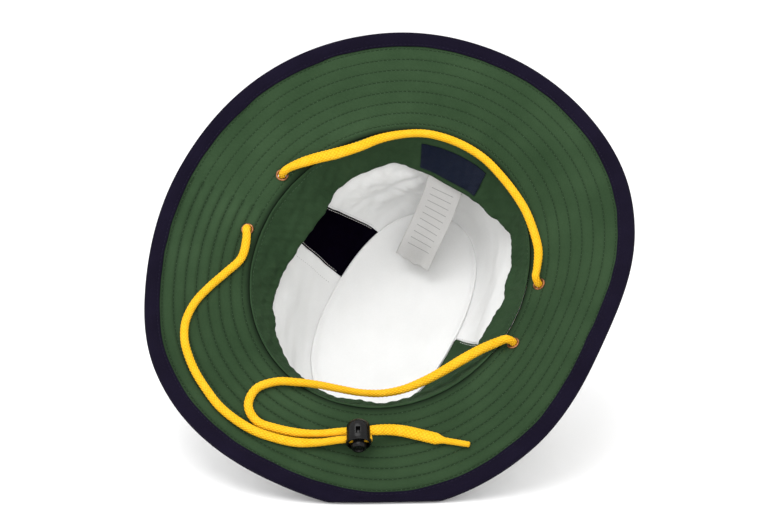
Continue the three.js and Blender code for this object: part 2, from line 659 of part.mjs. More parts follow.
// Care label: a ribbon tucked in behind the sweatband that hangs on into the crown
function makeCareLabel() {
  const label = CARE_LABEL;
  const steps = 7;
  const behind = SWEATBAND_CLOTH + label.behind;
  const start = bandOffset(label.at, 1 - label.tuck / SWEATBAND_HEIGHT, behind);
  const edge = bandOffset(label.at, 1, behind);
  const across = new THREE.Vector3(-Math.sin(radians(label.at)), Math.cos(radians(label.at)), 0);
  const outward = new THREE.Vector3().crossVectors(across, new THREE.Vector3(0, 0, 1));
  const along = edge.clone().sub(start).normalize();
  const startLean = Math.atan2(-along.dot(outward), along.z);
  const run = (label.tuck + label.length) / steps;
  const stations = [];
  const middle = start.clone();
  for (let i = 0; i <= steps; i += 1) {
    const lean = lerp(startLean, radians(label.lean), Math.min(1, i / 3));
    const swing = radians(label.swing) * Math.min(1, i / 4);
    const straight = new THREE.Vector3(0, 0, Math.cos(lean)).addScaledVector(outward, -Math.sin(lean));
    stations.push({
      middle: middle.clone(),
      side: across.clone().multiplyScalar(Math.cos(swing)).addScaledVector(straight, -Math.sin(swing)),
      facing: outward.clone().multiplyScalar(Math.cos(lean)).add(new THREE.Vector3(0, 0, Math.sin(lean))),
    });
    middle.addScaledVector(straight, run * Math.cos(swing)).addScaledVector(across, run * Math.sin(swing));
  }
  const face = (distance) => (u, v) => {
    const { middle: point, side, facing } = stations[Math.round(v * steps)];
    return point.clone().addScaledVector(side, (u - 0.5) * label.width).addScaledVector(facing, distance);
  };
  return patchBody('care_label', white, face(0), face(label.thick), 1, steps);
}

// Eyelets: a flanged barrel clenched through both layers
function makeEyelets() {
  const low = -GAP;
  const high = BRIM_THICK + GAP;
  const middle = (EYELET_HOLE + EYELET_FLANGE) / 2;
  const profile = [
    [EYELET_HOLE, low - EYELET_THICK / 2],
    [middle, low - EYELET_THICK],
    [EYELET_FLANGE, low],
    [EYELET_BARREL, low],
    [EYELET_BARREL, high],
    [EYELET_FLANGE, high],
    [middle, high + EYELET_THICK],
    [EYELET_HOLE, high + EYELET_THICK / 2],
    [EYELET_HOLE, low - EYELET_THICK / 2],
  ].map(([r, h]) => new THREE.Vector2(r, h));
  return eyeletPlaces.map((place) => {
    const mesh = new THREE.Mesh(new THREE.LatheGeometry(profile, 12), brass);
    mesh.name = place.name;
    mesh.position.copy(place.middle);
    mesh.quaternion.setFromUnitVectors(new THREE.Vector3(0, 1, 0), place.axis);
    return mesh;
  });
}

// Chin cord: a round tube whose steps fall on the points of its route
class CordRoute extends THREE.CatmullRomCurve3 {
  getSpacedPoints(divisions) {
    return this.getPoints(divisions);
  }

  getTangentAt(share, target) {
    return this.getTangent(share, target);
  }
}

function makeCord({ name, points }) {
  const route = new CordRoute(points.map((p) => new THREE.Vector3(...p)));
  const corners = Array.from({ length: CORD_SIDES }, (_, i) => {
    const angle = ((i + 0.5) * 2 * Math.PI) / CORD_SIDES;
    return new THREE.Vector2(Math.cos(angle), Math.sin(angle)).multiplyScalar(CORD_DIAMETER / 2);
  });
  const geometry = new THREE.ExtrudeGeometry(new THREE.Shape(corners), {
    steps: points.length - 1,
    extrudePath: route,
  });
  const mesh = new THREE.Mesh(geometry, yellow);
  mesh.name = name;
  return mesh;
}

// Box for a cut across the lock: along the cord, along the travel from one height to another, and deep
function lockCut(along, from, to, depth, away) {
  const box = new THREE.BoxGeometry(along, to - from, depth);
  box.translate(0, (from + to) / 2, away);
  return solid(box);
}

function turned(profile) {
  return solid(new THREE.LatheGeometry(profile.map(([r, h]) => new THREE.Vector2(r, h)), LOCK_SIDES));
}

function makeLock() {
  const through = 3 * BARREL_RADIUS;
  const slotDepth = STRANDS_WIDE + 2 * GAP;
  const landTop = BARREL_END_WALL + GAP + BUTTON_TRAVEL;
  const slotTop = landTop + BUTTON_LAND;
  const slotBottom = slotTop + STRANDS_DEEP + 2 * GAP;
  const bore = BARREL_RADIUS - BARREL_WALL;
  const buttonRadius = bore - GAP;
  const buttonEnd = landTop + BUTTON_LENGTH;
  const r = BARREL_RADIUS;
  const barrel = turned([
    [0, 0],
    [0.42 * r, 0.06 * r],
    [0.73 * r, 0.22 * r],
    [0.92 * r, 0.5 * r],
    [r, 0.88 * r],
    [r, BARREL_LENGTH - 0.35 * r],
    [0.93 * r, BARREL_LENGTH],
    [bore, BARREL_LENGTH],
    [bore, BARREL_END_WALL + FOOT_BEVEL],
    [bore - FOOT_BEVEL, BARREL_END_WALL],
    [0, BARREL_END_WALL],
  ])
    .subtract(lockCut(through, slotTop, slotBottom, slotDepth, 0))
    .subtract(lockCut(LATCH_WINDOW.width, LATCH_WINDOW.from, LATCH_WINDOW.to, r, r));
  const neck = BUTTON_NECK.radius;
  const button = turned([
    [0, landTop],
    [buttonRadius - FOOT_BEVEL, landTop],
    [buttonRadius, landTop + FOOT_BEVEL],
    [buttonRadius, BUTTON_NECK.from],
    [neck, BUTTON_NECK.to],
    [neck, buttonEnd - 0.4 * neck],
    [0.88 * neck, buttonEnd - 0.12 * neck],
    [0.6 * neck, buttonEnd],
    [0, buttonEnd],
  ])
    .subtract(lockCut(through, slotTop, buttonEnd - BUTTON_HEAD, slotDepth, 0));
  const along = new THREE.Vector3(...LOCK_ALONG_CORD);
  const travel = new THREE.Vector3(...LOCK_TRAVEL);
  const frame = new THREE.Matrix4().makeBasis(along, travel, along.clone().cross(travel));
  const parts = [
    { name: 'cord_lock_barrel', shape: barrel },
    { name: 'cord_lock_button', shape: button },
  ];
  return parts.map(({ name, shape }) => {
    const mesh = new THREE.Mesh(fromSolid(shape), black);
    mesh.name = name;
    mesh.position.set(...LOCK_PLACE);
    mesh.quaternion.setFromRotationMatrix(frame);
    return mesh;
  });
}

const hatPieces = [
  ...makeBrim(),
  makeBinding(),
  ...PANELS.map(wallPanel),
  makeTip(),
  makeSweatband(),
  makeWovenLabel(),
  makeCareLabel(),
  ...makeEyelets(),
];
hatTurn.add(...hatPieces);

// The origin lies on the floor under the middle of the hat
hatLean.updateMatrixWorld(true);
const reach = new THREE.Box3().setFromObject(hatLean, true);
hatLean.position.set(-(reach.min.x + reach.max.x) / 2, -(reach.min.y + reach.max.y) / 2, -reach.min.z);

const group = new THREE.Group();
group.add(hatLean, ...CORD_ROUTES.map(makeCord), ...makeLock());

export default group;
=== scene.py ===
import math

import bmesh
import bpy
import numpy as np
from mathutils import Matrix, Vector


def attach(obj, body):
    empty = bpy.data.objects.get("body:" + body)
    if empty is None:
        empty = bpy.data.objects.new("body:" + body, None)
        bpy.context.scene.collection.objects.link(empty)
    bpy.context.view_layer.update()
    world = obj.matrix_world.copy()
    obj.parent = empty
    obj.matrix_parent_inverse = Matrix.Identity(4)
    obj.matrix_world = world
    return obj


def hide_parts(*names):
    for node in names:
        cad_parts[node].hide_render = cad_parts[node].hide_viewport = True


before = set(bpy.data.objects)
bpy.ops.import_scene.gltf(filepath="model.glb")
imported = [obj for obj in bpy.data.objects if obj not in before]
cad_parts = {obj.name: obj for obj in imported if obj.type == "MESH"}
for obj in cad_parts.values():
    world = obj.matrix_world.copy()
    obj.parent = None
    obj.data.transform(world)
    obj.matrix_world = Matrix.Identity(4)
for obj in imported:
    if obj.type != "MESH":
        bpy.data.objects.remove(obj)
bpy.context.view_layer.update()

# Camera
# The photograph looks down into the head opening from about 1.25 m away, a little from the right and
# 17.5 degrees above the floor.
CAMERA_PLACE = (0.08625, -1.19058, 0.4895)
camera_data = bpy.data.cameras.new("camera")
camera_data.sensor_width = 36
camera_data.lens = 92.45
camera_data.clip_end = 20
camera = bpy.data.objects.new("camera", camera_data)
right = Vector((0.99745, 0.0714, 0.00153))
upward = Vector((-0.023, 0.30029, 0.95357))
towards = right.cross(upward)
camera_turn = Matrix((right, upward, towards)).transposed().to_4x4()
camera.matrix_world = Matrix.Translation(CAMERA_PLACE) @ camera_turn
bpy.context.scene.collection.objects.link(camera)
bpy.context.scene.camera = camera

# Floor and studio light
# A white sweep under the hat, one broad soft light above it, a weaker one from the camera's side, and
# a bright white room.
bpy.context.scene.view_settings.view_transform = "Standard"
floor_bm = bmesh.new()
bmesh.ops.create_grid(floor_bm, x_segments=1, y_segments=1, size=6)
floor_mesh = bpy.data.meshes.new("floor")
floor_bm.to_mesh(floor_mesh)
floor = bpy.data.objects.new("floor", floor_mesh)
floor.location.z = -0.0003
bpy.context.scene.collection.objects.link(floor)
floor_paint = bpy.data.materials.new("floor")
floor_paint.use_nodes = True
floor_paint.node_tree.nodes["Principled BSDF"].inputs["Base Color"].default_value = (0.95, 0.95, 0.95, 1)
floor_paint.node_tree.nodes["Principled BSDF"].inputs["Roughness"].default_value = 0.7
floor_mesh.materials.append(floor_paint)

room = bpy.data.worlds.new("room")
room.use_nodes = True
room.node_tree.nodes["Background"].inputs["Color"].default_value = (1, 1, 1, 1)
room.node_tree.nodes["Background"].inputs["Strength"].default_value = 1.08
bpy.context.scene.world = room


def soft_light(name, place, aim, size, watts):
    lamp = bpy.data.lights.new(name, "AREA")
    lamp.shape = "DISK"
    lamp.size = size
    lamp.energy = watts
    lamp_object = bpy.data.objects.new(name, lamp)
    lamp_object.location = place
    lamp_object.rotation_euler = (Vector(aim) - Vector(place)).to_track_quat("-Z", "Y").to_euler()
    bpy.context.scene.collection.objects.link(lamp_object)


soft_light("overhead", (-0.25, -0.5, 1.7), (0, 0, 0.1), 1.3, 15)
soft_light("front", (0.25, -2.0, 1.0), (0, 0, 0.1), 1.5, 9)

# Chin cord
# A soft yellow cotton braid, pressed flat, in three lengths that meet inside the two back eyelets. One
# end stops just past the lock, and the other runs on through the lock to a slim tip. Routes are in
# millimetres. A table of sections holds the share of the route, the width and the thickness.
BRAID_PITCH = 2.6
BRAID_RELIEF = 0.34
BRAID_STRANDS = 4
CORD_FULLNESS = 0.85
CORD_LEFT = [
    (-2.2, -91.6, 30.3), (-19.8, -92.9, 29.5),
    (-33.3, -94.4, 27.8), (-46.9, -95.2, 27.7), (-60.3, -94.6, 30), (-73.3, -91.9, 33.3),
    (-85, -86.7, 37.9), (-95.5, -79.8, 43.4), (-104, -71.4, 49.9), (-111.7, -62.6, 57),
    (-117.8, -52.7, 64.2), (-122.1, -42.2, 71.7), (-122.8, -31.4, 80), (-118.6, -21.8, 88.6),
    (-110.4, -14.5, 96.8), (-100.7, -8.8, 104.6), (-91.5, -3, 112.8), (-89, 3.4, 123.7),
    (-89.5, 6.7, 128.6), (-89.6, 11.1, 128), (-89.5, 15.9, 123.7), (-88.2, 20.2, 123.2),
    (-80.1, 29, 137.8), (-72.3, 41.7, 149.4), (-70.6, 40.5, 153.4), (-70.2, 37.9, 155.2),
]
CORD_BACK = [
    (-70.2, 37.7, 155.4), (-69.8, 35.3, 157.2), (-67.3, 33.5, 160.4), (-62.7, 36.7, 162.4),
    (-50.3, 43, 165.5), (-36.4, 46.8, 168.4), (-22.7, 50.8, 172), (-9.3, 54.5, 176.6),
    (5, 56.5, 179.4), (19.6, 56.8, 180.1), (33.9, 54.5, 177.7), (47.2, 50.3, 173.2),
    (59.1, 44.6, 166.8), (69, 37.4, 158.7), (77.8, 29.6, 149.9), (85.2, 21, 140.7),
    (90.4, 11.3, 130.9), (93.8, 1.1, 121), (93.2, -10.6, 112.5), (92.5, -15.3, 108.9),
    (94, -15, 104.7), (95.3, -13.1, 102.8),
]
CORD_RIGHT = [
    (95.4, -13, 102.6), (96.9, -11, 100.5), (97.6, -10.5, 96.1), (89.9, -24.1, 84.8),
    (84.2, -34.4, 69.5), (81.7, -38.1, 70.5), (79.2, -41.3, 75.5), (75.3, -42.6, 77.3),
    (70.2, -41.1, 74.7), (59.6, -37, 68), (48.2, -38.7, 61.5), (37, -41.3, 54.9), (25.4, -43.9, 49),
    (13.3, -46.7, 44.5), (0.4, -48.8, 42.3), (-12.7, -50.5, 43), (-25.4, -53, 46),
    (-37.5, -56.9, 49.8), (-50, -60.2, 52.4), (-63.2, -61.4, 52.9), (-74.6, -66.9, 50.1),
    (-78.2, -77.3, 43.3), (-71.9, -86.2, 36.8), (-59.5, -88.9, 33.5), (-46.4, -89.3, 31.4),
    (-33.3, -89.8, 31.6), (-20.2, -90.4, 33.6), (-1.3, -88.9, 34.4), (4.3, -86, 33.7),
    (10.7, -83.5, 32.6), (17.2, -82.7, 31.5), (23.8, -83.2, 30.3), (29.9, -84.3, 29.4),
    (35.3, -85.8, 28.8), (40.8, -87.4, 28.4), (48.3, -89.5, 28.2), (55.8, -91.8, 28.1),
]
# The hat's turn, its lean and its place in millimetres, as it lies tipped on the floor
HAT_TURN = math.radians(203.8)
HAT_LEAN = math.radians(-131.9168)
HAT_PLACE = (2.274, -2.486, 110.181)
hat_to_floor = (Matrix.Translation(HAT_PLACE) @ Matrix.Rotation(HAT_LEAN, 4, "X")
                @ Matrix.Rotation(HAT_TURN, 4, "Z"))
off_the_cloth = np.array((hat_to_floor.to_3x3() @ Vector((0, 0, -1))).normalized())


class Value:
    """A number that changes over a surface."""

    def __init__(self, finish, socket):
        self.finish = finish
        self.socket = socket

    def math(self, operation, *others):
        operands = [self, *others]
        inputs = {i: o.socket if isinstance(o, Value) else o for i, o in enumerate(operands)}
        return self.finish.value("ShaderNodeMath", {"operation": operation}, inputs)

    def swapped(self, operation, other):
        return self.finish.value("ShaderNodeMath", {"operation": operation}, {0: other, 1: self.socket})

    def __add__(self, other):
        return self.math("ADD", other)

    __radd__ = __add__

    def __sub__(self, other):
        return self.math("SUBTRACT", other)

    def __rsub__(self, other):
        return self.swapped("SUBTRACT", other)

    def __mul__(self, other):
        return self.math("MULTIPLY", other)

    __rmul__ = __mul__


class Finish:
    """A material built node by node."""

    def __init__(self, name, roughness, metallic=0.0, specular=0.5):
        self.material = bpy.data.materials.new(name)
        self.material.use_nodes = True
        self.tree = self.material.node_tree
        self.shader = self.tree.nodes["Principled BSDF"]
        self.set({"Roughness": roughness, "Metallic": metallic, "Specular IOR Level": specular})

    def set(self, inputs):
        self.plug(self.shader, inputs)

    def plug(self, node, inputs):
        for key, given in inputs.items():
            if isinstance(given, Value):
                given = given.socket
            if isinstance(given, bpy.types.NodeSocket):
                self.tree.links.new(given, node.inputs[key])
            else:
                node.inputs[key].default_value = given

    def node(self, kind, settings, inputs):
        node = self.tree.nodes.new(kind)
        for key, given in settings.items():
            if key == "stops":
                ramp = node.color_ramp.elements
                while len(ramp) < len(given):
                    ramp.new(0.5)
                for element, (place, colour) in zip(ramp, given):
                    element.position = place
                    element.color = colour
            else:
                setattr(node, key, given)
        self.plug(node, inputs)
        return node

    def value(self, kind, settings, inputs):
        return Value(self, self.node(kind, settings, inputs).outputs[0])

    def along(self):
        cloth = self.node("ShaderNodeUVMap", {}, {}).outputs[0]
        split = self.node("ShaderNodeSeparateXYZ", {}, {0: cloth})
        return Value(self, split.outputs[0]), Value(self, split.outputs[1])

    def noise(self, scale, detail):
        place = self.node("ShaderNodeTexCoord", {}, {}).outputs["Object"]
        return self.value("ShaderNodeTexNoise", {}, {"Vector": place, "Scale": scale, "Detail": detail})

    def between(self, share, low, high):
        ramp = [(low, (0, 0, 0, 1)), (high, (1, 1, 1, 1))]
        return self.value("ShaderNodeValToRGB", {"stops": ramp}, {0: share})

    def mixed(self, share, first, second):
        colours = {0: share, 6: first, 7: second}
        return self.node("ShaderNodeMix", {"data_type": "RGBA"}, colours).outputs[2]

    def bump(self, height, distance, strength=1.0):
        inputs = {"Height": height, "Distance": distance, "Strength": strength}
        self.set({"Normal": self.node("ShaderNodeBump", {}, inputs).outputs[0]})


def cord_finish():
    finish = Finish("yellow braid", roughness=0.8, specular=0.08)
    along, around = finish.along()
    lengthwise = along * (1000 * math.pi / BRAID_PITCH)
    sideways = around * (2 * BRAID_STRANDS * math.pi)
    right_hand = (lengthwise + sideways).math("SINE")
    left_hand = (lengthwise - sideways).math("SINE")
    crown = (right_hand * left_hand).math("ABSOLUTE")
    # Painted shade and light: the braid is coloured darker orange in the grooves between its strands and
    # lighter on the strand tops.
    shade = finish.between(crown, 0.0, 0.45)
    worn = finish.noise(260, 4)
    base = finish.mixed(shade, (0.70, 0.30, 0.006, 1), (0.88, 0.49, 0.016, 1))
    base = finish.mixed(finish.between(worn, 0.4, 0.9), base, (0.90, 0.50, 0.03, 1))
    finish.set({"Base Color": base})
    finish.bump(crown + worn * 0.4, 0.00035, 0.9)
    return finish.material


yellow_braid = cord_finish()


def smooth_route(points, steps):
    """Even points along one smooth curve through the route, and how far along each lies."""
    given = np.array(points, float)
    knots = np.concatenate([[0], np.cumsum(np.linalg.norm(np.diff(given, axis=0), axis=1) ** 0.5)])
    first = 2 * given[0] - given[1]
    last = 2 * given[-1] - given[-2]
    padded = np.vstack([first, given, last])
    times = np.concatenate([[2 * knots[0] - knots[1]], knots, [2 * knots[-1] - knots[-2]]])
    fine = []
    for i in range(1, len(padded) - 2):
        t0, t1, t2, t3 = times[i - 1:i + 3]
        p0, p1, p2, p3 = padded[i - 1:i + 3]
        t = np.linspace(t1, t2, 40, endpoint=i == len(padded) - 3)[:, None]
        a1 = (t1 - t) / (t1 - t0) * p0 + (t - t0) / (t1 - t0) * p1
        a2 = (t2 - t) / (t2 - t1) * p1 + (t - t1) / (t2 - t1) * p2
        a3 = (t3 - t) / (t3 - t2) * p2 + (t - t2) / (t3 - t2) * p3
        b1 = (t2 - t) / (t2 - t0) * a1 + (t - t0) / (t2 - t0) * a2
        b2 = (t3 - t) / (t3 - t1) * a2 + (t - t1) / (t3 - t1) * a3
        fine.append((t2 - t) / (t2 - t1) * b1 + (t - t1) / (t2 - t1) * b2)
    fine = np.vstack(fine)
    far = np.concatenate([[0], np.cumsum(np.linalg.norm(np.diff(fine, axis=0), axis=1))])
    even = np.linspace(0, far[-1], steps + 1)
    return np.stack([np.interp(even, far, fine[:, k]) for k in range(3)], axis=1), even


def finished(name, bm, material):
    """Turn a bmesh in millimetres into a piece in metres."""
    bmesh.ops.scale(bm, vec=(0.001, 0.001, 0.001), verts=bm.verts)
    mesh = bpy.data.meshes.new(name)
    bm.to_mesh(mesh)
    bm.free()
    mesh.materials.append(material)
    mesh.shade_smooth()
    piece = bpy.data.objects.new(name, mesh)
    bpy.context.scene.collection.objects.link(piece)
    return piece


def woven_grid(columns, rows, place, measure, merge=0.0):
    """A grid laid out by place(u, v) from 0 to 1 both ways, and measured along the cloth in metres."""
    bm = bmesh.new()
    bmesh.ops.create_grid(bm, x_segments=columns, y_segments=rows, size=0.5)
    shares = np.array([vert.co[:2] for vert in bm.verts]) + 0.5
    cloth = bm.loops.layers.uv.new("cloth")
    along = measure(shares[:, 0], shares[:, 1])
    for face in bm.faces:
        for loop in face.loops:
            loop[cloth].uv = along[loop.vert.index]
    for vert, point in zip(bm.verts, place(shares[:, 0], shares[:, 1])):
        vert.co = point
    if merge:
        bmesh.ops.remove_doubles(bm, verts=bm.verts, dist=merge)
    return bm


def braided_cord(name, points, sections):
    """The braid along a route, with its middle line and its length in metres."""
    given = np.array(points, float)
    reach = np.linalg.norm(np.diff(given, axis=0), axis=1).sum()
    steps = int(reach / (0.3))
    middle, even = smooth_route(points, steps)
    heading = np.gradient(middle, axis=0)
    heading /= np.linalg.norm(heading, axis=1)[:, None]
    side = np.cross(heading, off_the_cloth)
    window = int(9 / (even[1] - even[0]))
    kernel = np.hanning(2 * window + 1)
    for k in range(3):
        side[:, k] = np.convolve(np.pad(side[:, k], window, mode="edge"), kernel / kernel.sum(), "valid")
    side -= heading * (side * heading).sum(axis=1)[:, None]
    side /= np.linalg.norm(side, axis=1)[:, None]
    rise = np.cross(side, heading)
    table = np.array(sections, float)
    wide = np.interp(even, table[:, 0] * even[-1], table[:, 1]) / 2
    thick = np.interp(even, table[:, 0] * even[-1], table[:, 2]) / 2
    ends = np.minimum(even, even[-1] - even)
    rounding = np.sqrt(np.clip(1 - (1 - np.clip(ends / 0.5, 0, 1)) ** 2, 0, 1))

    def place(u, v):
        i = np.rint(u * steps).astype(int)
        angle = 2 * math.pi * v
        wave = math.pi * even[i] / BRAID_PITCH
        crossing = np.sin(wave + BRAID_STRANDS * angle) * np.sin(wave - BRAID_STRANDS * angle)
        out = 1 + BRAID_RELIEF * (np.sqrt(np.abs(crossing)) - 0.6) / thick[i]
        c, s = np.cos(angle), np.sin(angle)
        across = np.sign(c) * np.abs(c) ** CORD_FULLNESS * wide[i] * out * rounding[i]
        height = np.sign(s) * np.abs(s) ** CORD_FULLNESS * thick[i] * out * rounding[i]
        return middle[i] + side[i] * across[:, None] + rise[i] * height[:, None]

    def measure(u, v):
        return np.stack([u * even[-1] / 1000, v], axis=1)

    bm = woven_grid(steps, 28, place, measure, merge=0.002)
    bmesh.ops.recalc_face_normals(bm, faces=bm.faces)
    piece = finished(name, bm, yellow_braid)
    path = [tuple(p / 1000) for p in middle[np.append(np.arange(0, steps, 4), steps)]]
    return piece, path, even[-1] / 1000


left_sections = [
    (0.0, 4.3, 4.2), (0.1, 4.3, 4.2), (0.146, 5.4, 3.8), (0.4, 5.0, 3.9), (0.64, 4.9, 3.9), (0.77, 5.2, 3.8),
    (0.81, 4.4, 4.3), (1.0, 4.4, 4.3),
]
back_sections = [
    (0.0, 4.4, 4.3), (0.04, 4.8, 4.2), (0.09, 6.8, 3.8), (0.17, 7.4, 3.6), (0.26, 6.4, 3.7), (0.36, 4.9, 4.0),
    (0.6, 5.0, 4.0), (0.9, 5.2, 3.9), (0.95, 4.5, 4.3), (1.0, 4.4, 4.3),
]
right_sections = [
    (0.0, 4.4, 4.3), (0.15, 4.4, 4.3), (0.185, 5.8, 3.9), (0.24, 6.2, 3.8), (0.333, 5.2, 3.9),
    (0.416, 4.2, 4.1), (0.5, 4.6, 4.0), (0.61, 5.2, 3.9), (0.72, 5.2, 3.9), (0.75, 4.3, 4.2),
    (0.82, 4.3, 4.2), (0.85, 6.2, 3.8), (0.9, 7.0, 3.6), (0.945, 7.0, 3.5), (0.957, 3.7, 3.1),
    (0.995, 3.3, 2.8), (1.0, 3.0, 2.4),
]
cord_left, path_left, long_left = braided_cord("cord_left", CORD_LEFT, left_sections)
cord_back, path_back, long_back = braided_cord("cord_back", CORD_BACK, back_sections)
cord_right, path_right, long_right = braided_cord("cord_right", CORD_RIGHT, right_sections)
cords = ((cord_left, "chin_cord_left"), (cord_back, "chin_cord_back"), (cord_right, "chin_cord_right"))
for cord, node in cords:
    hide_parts(node)
    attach(cord, "hat")

# Brim, seen side
# The brim's green cotton underside, quilted to the white top with eight rows of stitches that run
# around the head opening. The opening is an oval, a little narrower at the back. The brim's fall away
# from the crown changes around the hat, given in degrees for every 30 degrees.
CLOTH = 1.0
OPENING = (171, 194)
OPENING_NARROWING = 0.02
BRIM_WIDTH = 67
BRIM_THICK = 2.3
BINDING_WIDTH = 10
BRIM_FALL = (2.3, 14.8, 12, 4.6, 5, 20, 30.1, 16.5, 8.5, 17.4, 9.2, -6.1)
STITCH_ROWS = np.linspace(4.5, 55.6, 8)
STITCH_CHANNEL = 0.55
STITCH_PITCH = 3.1
COTTON_THREAD = 0.42
EYELET_HOLE = 3.1
EYELET_PLACES = ((-70.2, 37.8, 155.3), (-89.6, 13.5, 125.9), (95.4, -13, 102.7), (80.4, -39.8, 73))


def around(values, degrees):
    """Smooth value between entries that stand at even directions around the hat."""
    values = np.asarray(values, float)
    place = (degrees % 360) * len(values) / 360
    row = np.floor(place).astype(int)
    a, b, c, d = (values[(row + k) % len(values)] for k in (-1, 0, 1, 2))
    s = place - row
    return b + 0.5 * s * (c - a + s * (2 * a - 5 * b + 4 * c - d + s * (3 * (b - c) + d - a)))


def oval(half_width, half_length, square, degrees):
    """Points of an oval in the given directions. A square of 2 is an ellipse, and more is boxier."""
    c = np.cos(np.radians(degrees))
    s = np.sin(np.radians(degrees))
    reach = (np.abs(c) ** square + np.abs(s) ** square) ** (-1 / square)
    return np.stack([half_width * c * reach, half_length * s * reach], axis=1)


def opening_edge(degrees):
    half_width, half_length = OPENING[0] / 2, OPENING[1] / 2
    edge = oval(half_width, half_length, 2, degrees)
    edge[:, 0] *= 1 - OPENING_NARROWING * np.sin(np.radians(degrees))
    along = oval(half_width, half_length, 2, degrees + 0.5) - oval(half_width, half_length, 2, degrees - 0.5)
    outward = np.stack([along[:, 1], -along[:, 0]], axis=1)
    return edge, outward / np.linalg.norm(outward, axis=1)[:, None]


def on_brim(degrees, out, lift):
    """Point on the brim: out along the cloth from the seam, lift towards the crown."""
    fall = np.radians(around(BRIM_FALL, degrees))
    edge, outward = opening_edge(degrees)
    flat = out * np.cos(fall) + lift * np.sin(fall)
    height = lift * np.cos(fall) - out * np.sin(fall)
    return np.column_stack([edge + outward * flat[:, None], height])


def at_rest(points, stack=0.0):
    """Lay hat points on the floor. The floor flattens cloth that would sink below its stack."""
    turn = np.array(hat_to_floor)
    laid = points @ turn[:3, :3].T + turn[:3, 3]
    laid[:, 2] = np.maximum(laid[:, 2], stack)
    return laid


def ripple(points, seed, reach):
    """Gentle unevenness with waves about reach millimetres long."""
    waves = 9
    random = np.random.default_rng(seed)
    total = np.zeros(len(points))
    for _ in range(waves):
        way = random.normal(size=points.shape[1])
        way /= np.linalg.norm(way) * reach * random.uniform(0.6, 1.5)
        total += np.sin(points @ way * 2 * math.pi + random.uniform(0, 2 * math.pi))
    return total / math.sqrt(waves)


def from_rows(out):
    """How far a place on the brim is from the nearest row of stitches."""
    return np.abs(out[:, None] - STITCH_ROWS).min(axis=1)


def quilting(degrees, out, height):
    """How far the cloth stands proud between the rows of stitches."""
    puff = height * (1 - np.exp(-from_rows(out) / STITCH_CHANNEL))
    puff *= np.clip(out, 0, 1) ** 0.5
    puff *= np.clip((BRIM_WIDTH - BINDING_WIDTH + 0.4 - out) / 1.4, 0, 1)
    base = on_brim(degrees, out, out * 0)
    loose = ripple(base, 3, 17) + 0.6 * ripple(base, 4, 7)
    return puff * (1 + 0.22 * loose)


def cloth_finish(name, deep, light, specular=0.06, rows=False):
    """Plain woven cotton: fine crossing threads, slightly uneven colour, puckered at rows, with painted shade
    in the row grooves and along the seam at the inner edge.
    """
    finish = Finish(name, roughness=0.9, specular=specular)
    across, up = finish.along()
    warp = (across * (2000 * math.pi / COTTON_THREAD)).math("SINE")
    weft = (up * (2000 * math.pi / COTTON_THREAD)).math("SINE")
    threads = warp * weft
    patches = finish.noise(28, 3)
    fibres = finish.noise(900, 4)
    share = finish.between(patches * 0.7 + fibres * 0.3 + threads * 0.05, 0.3, 0.72)
    colour = finish.mixed(share, deep, light)
    height = threads * 0.5 + fibres * 0.6
    if rows:
        row = (up * 1000 - float(STITCH_ROWS[0])) * float(1 / (STITCH_ROWS[1] - STITCH_ROWS[0]))
        near = (row - row.math("ROUND")).math("ABSOLUTE")
        # Painted shade: the cloth is coloured darker in the narrow grooves at the rows of stitches.
        painted_row_shade = tuple(0.55 * c for c in deep[:3]) + (1,)
        colour = finish.mixed(finish.between(near, 0.0, 0.06), painted_row_shade, colour)
        pull = (across * (2000 * math.pi / STITCH_PITCH)).math("SINE")
        pull = pull * (1 - finish.between(near, 0.05, 0.35))
        height = height + pull * 2.5
        # Painted shade: a near-black line along the seam crevice at the brim's inner edge, where the
        # underside tucks in.
        colour = finish.mixed(finish.between(up, 0.0001, 0.0009), (0.006, 0.012, 0.006, 1), colour)
    finish.set({"Base Color": colour})
    finish.bump(height, 0.00006)
    return finish.material


def dress(piece, node):
    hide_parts(node)
    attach(piece, "hat")


def thicken(piece, thickness, offset):
    shell = piece.modifiers.new("cloth", "SOLIDIFY")
    shell.thickness = thickness / 1000
    shell.offset = offset
    return piece


def punch_eyelets(bm):
    middles = np.array([face.calc_center_median()[:] for face in bm.faces])
    nearest = np.min([np.linalg.norm(middles - np.array(p), axis=1) for p in EYELET_PLACES], axis=0)
    doomed = [face for face, far in zip(bm.faces, nearest) if far < EYELET_HOLE]
    bmesh.ops.delete(bm, geom=doomed, context="FACES")


def brim_stations():
    """How far out the rows of the brim's mesh lie, closest together beside the stitches."""
    gap = STITCH_ROWS[1] - STITCH_ROWS[0]
    steps = np.array([0, 0.05, 0.12, 0.22, 0.36, 0.5, 0.64, 0.78, 0.88, 0.95])
    stations = [np.array([-1.1, -0.8, -0.45, -0.15, 0.1, 0.4, 0.8, 1.5, 2.5, 3.5, 4.1])]
    stations += [row + gap * steps for row in STITCH_ROWS[:-1]]
    stations += [np.array([55.6, 55.9, 56.4, 57, 58, 60, 62, 64, 65.5])]
    return np.concatenate(stations)


around_steps = 720
stations = brim_stations()
ring_length = 2 * math.pi * (OPENING[0] + OPENING[1]) / 4


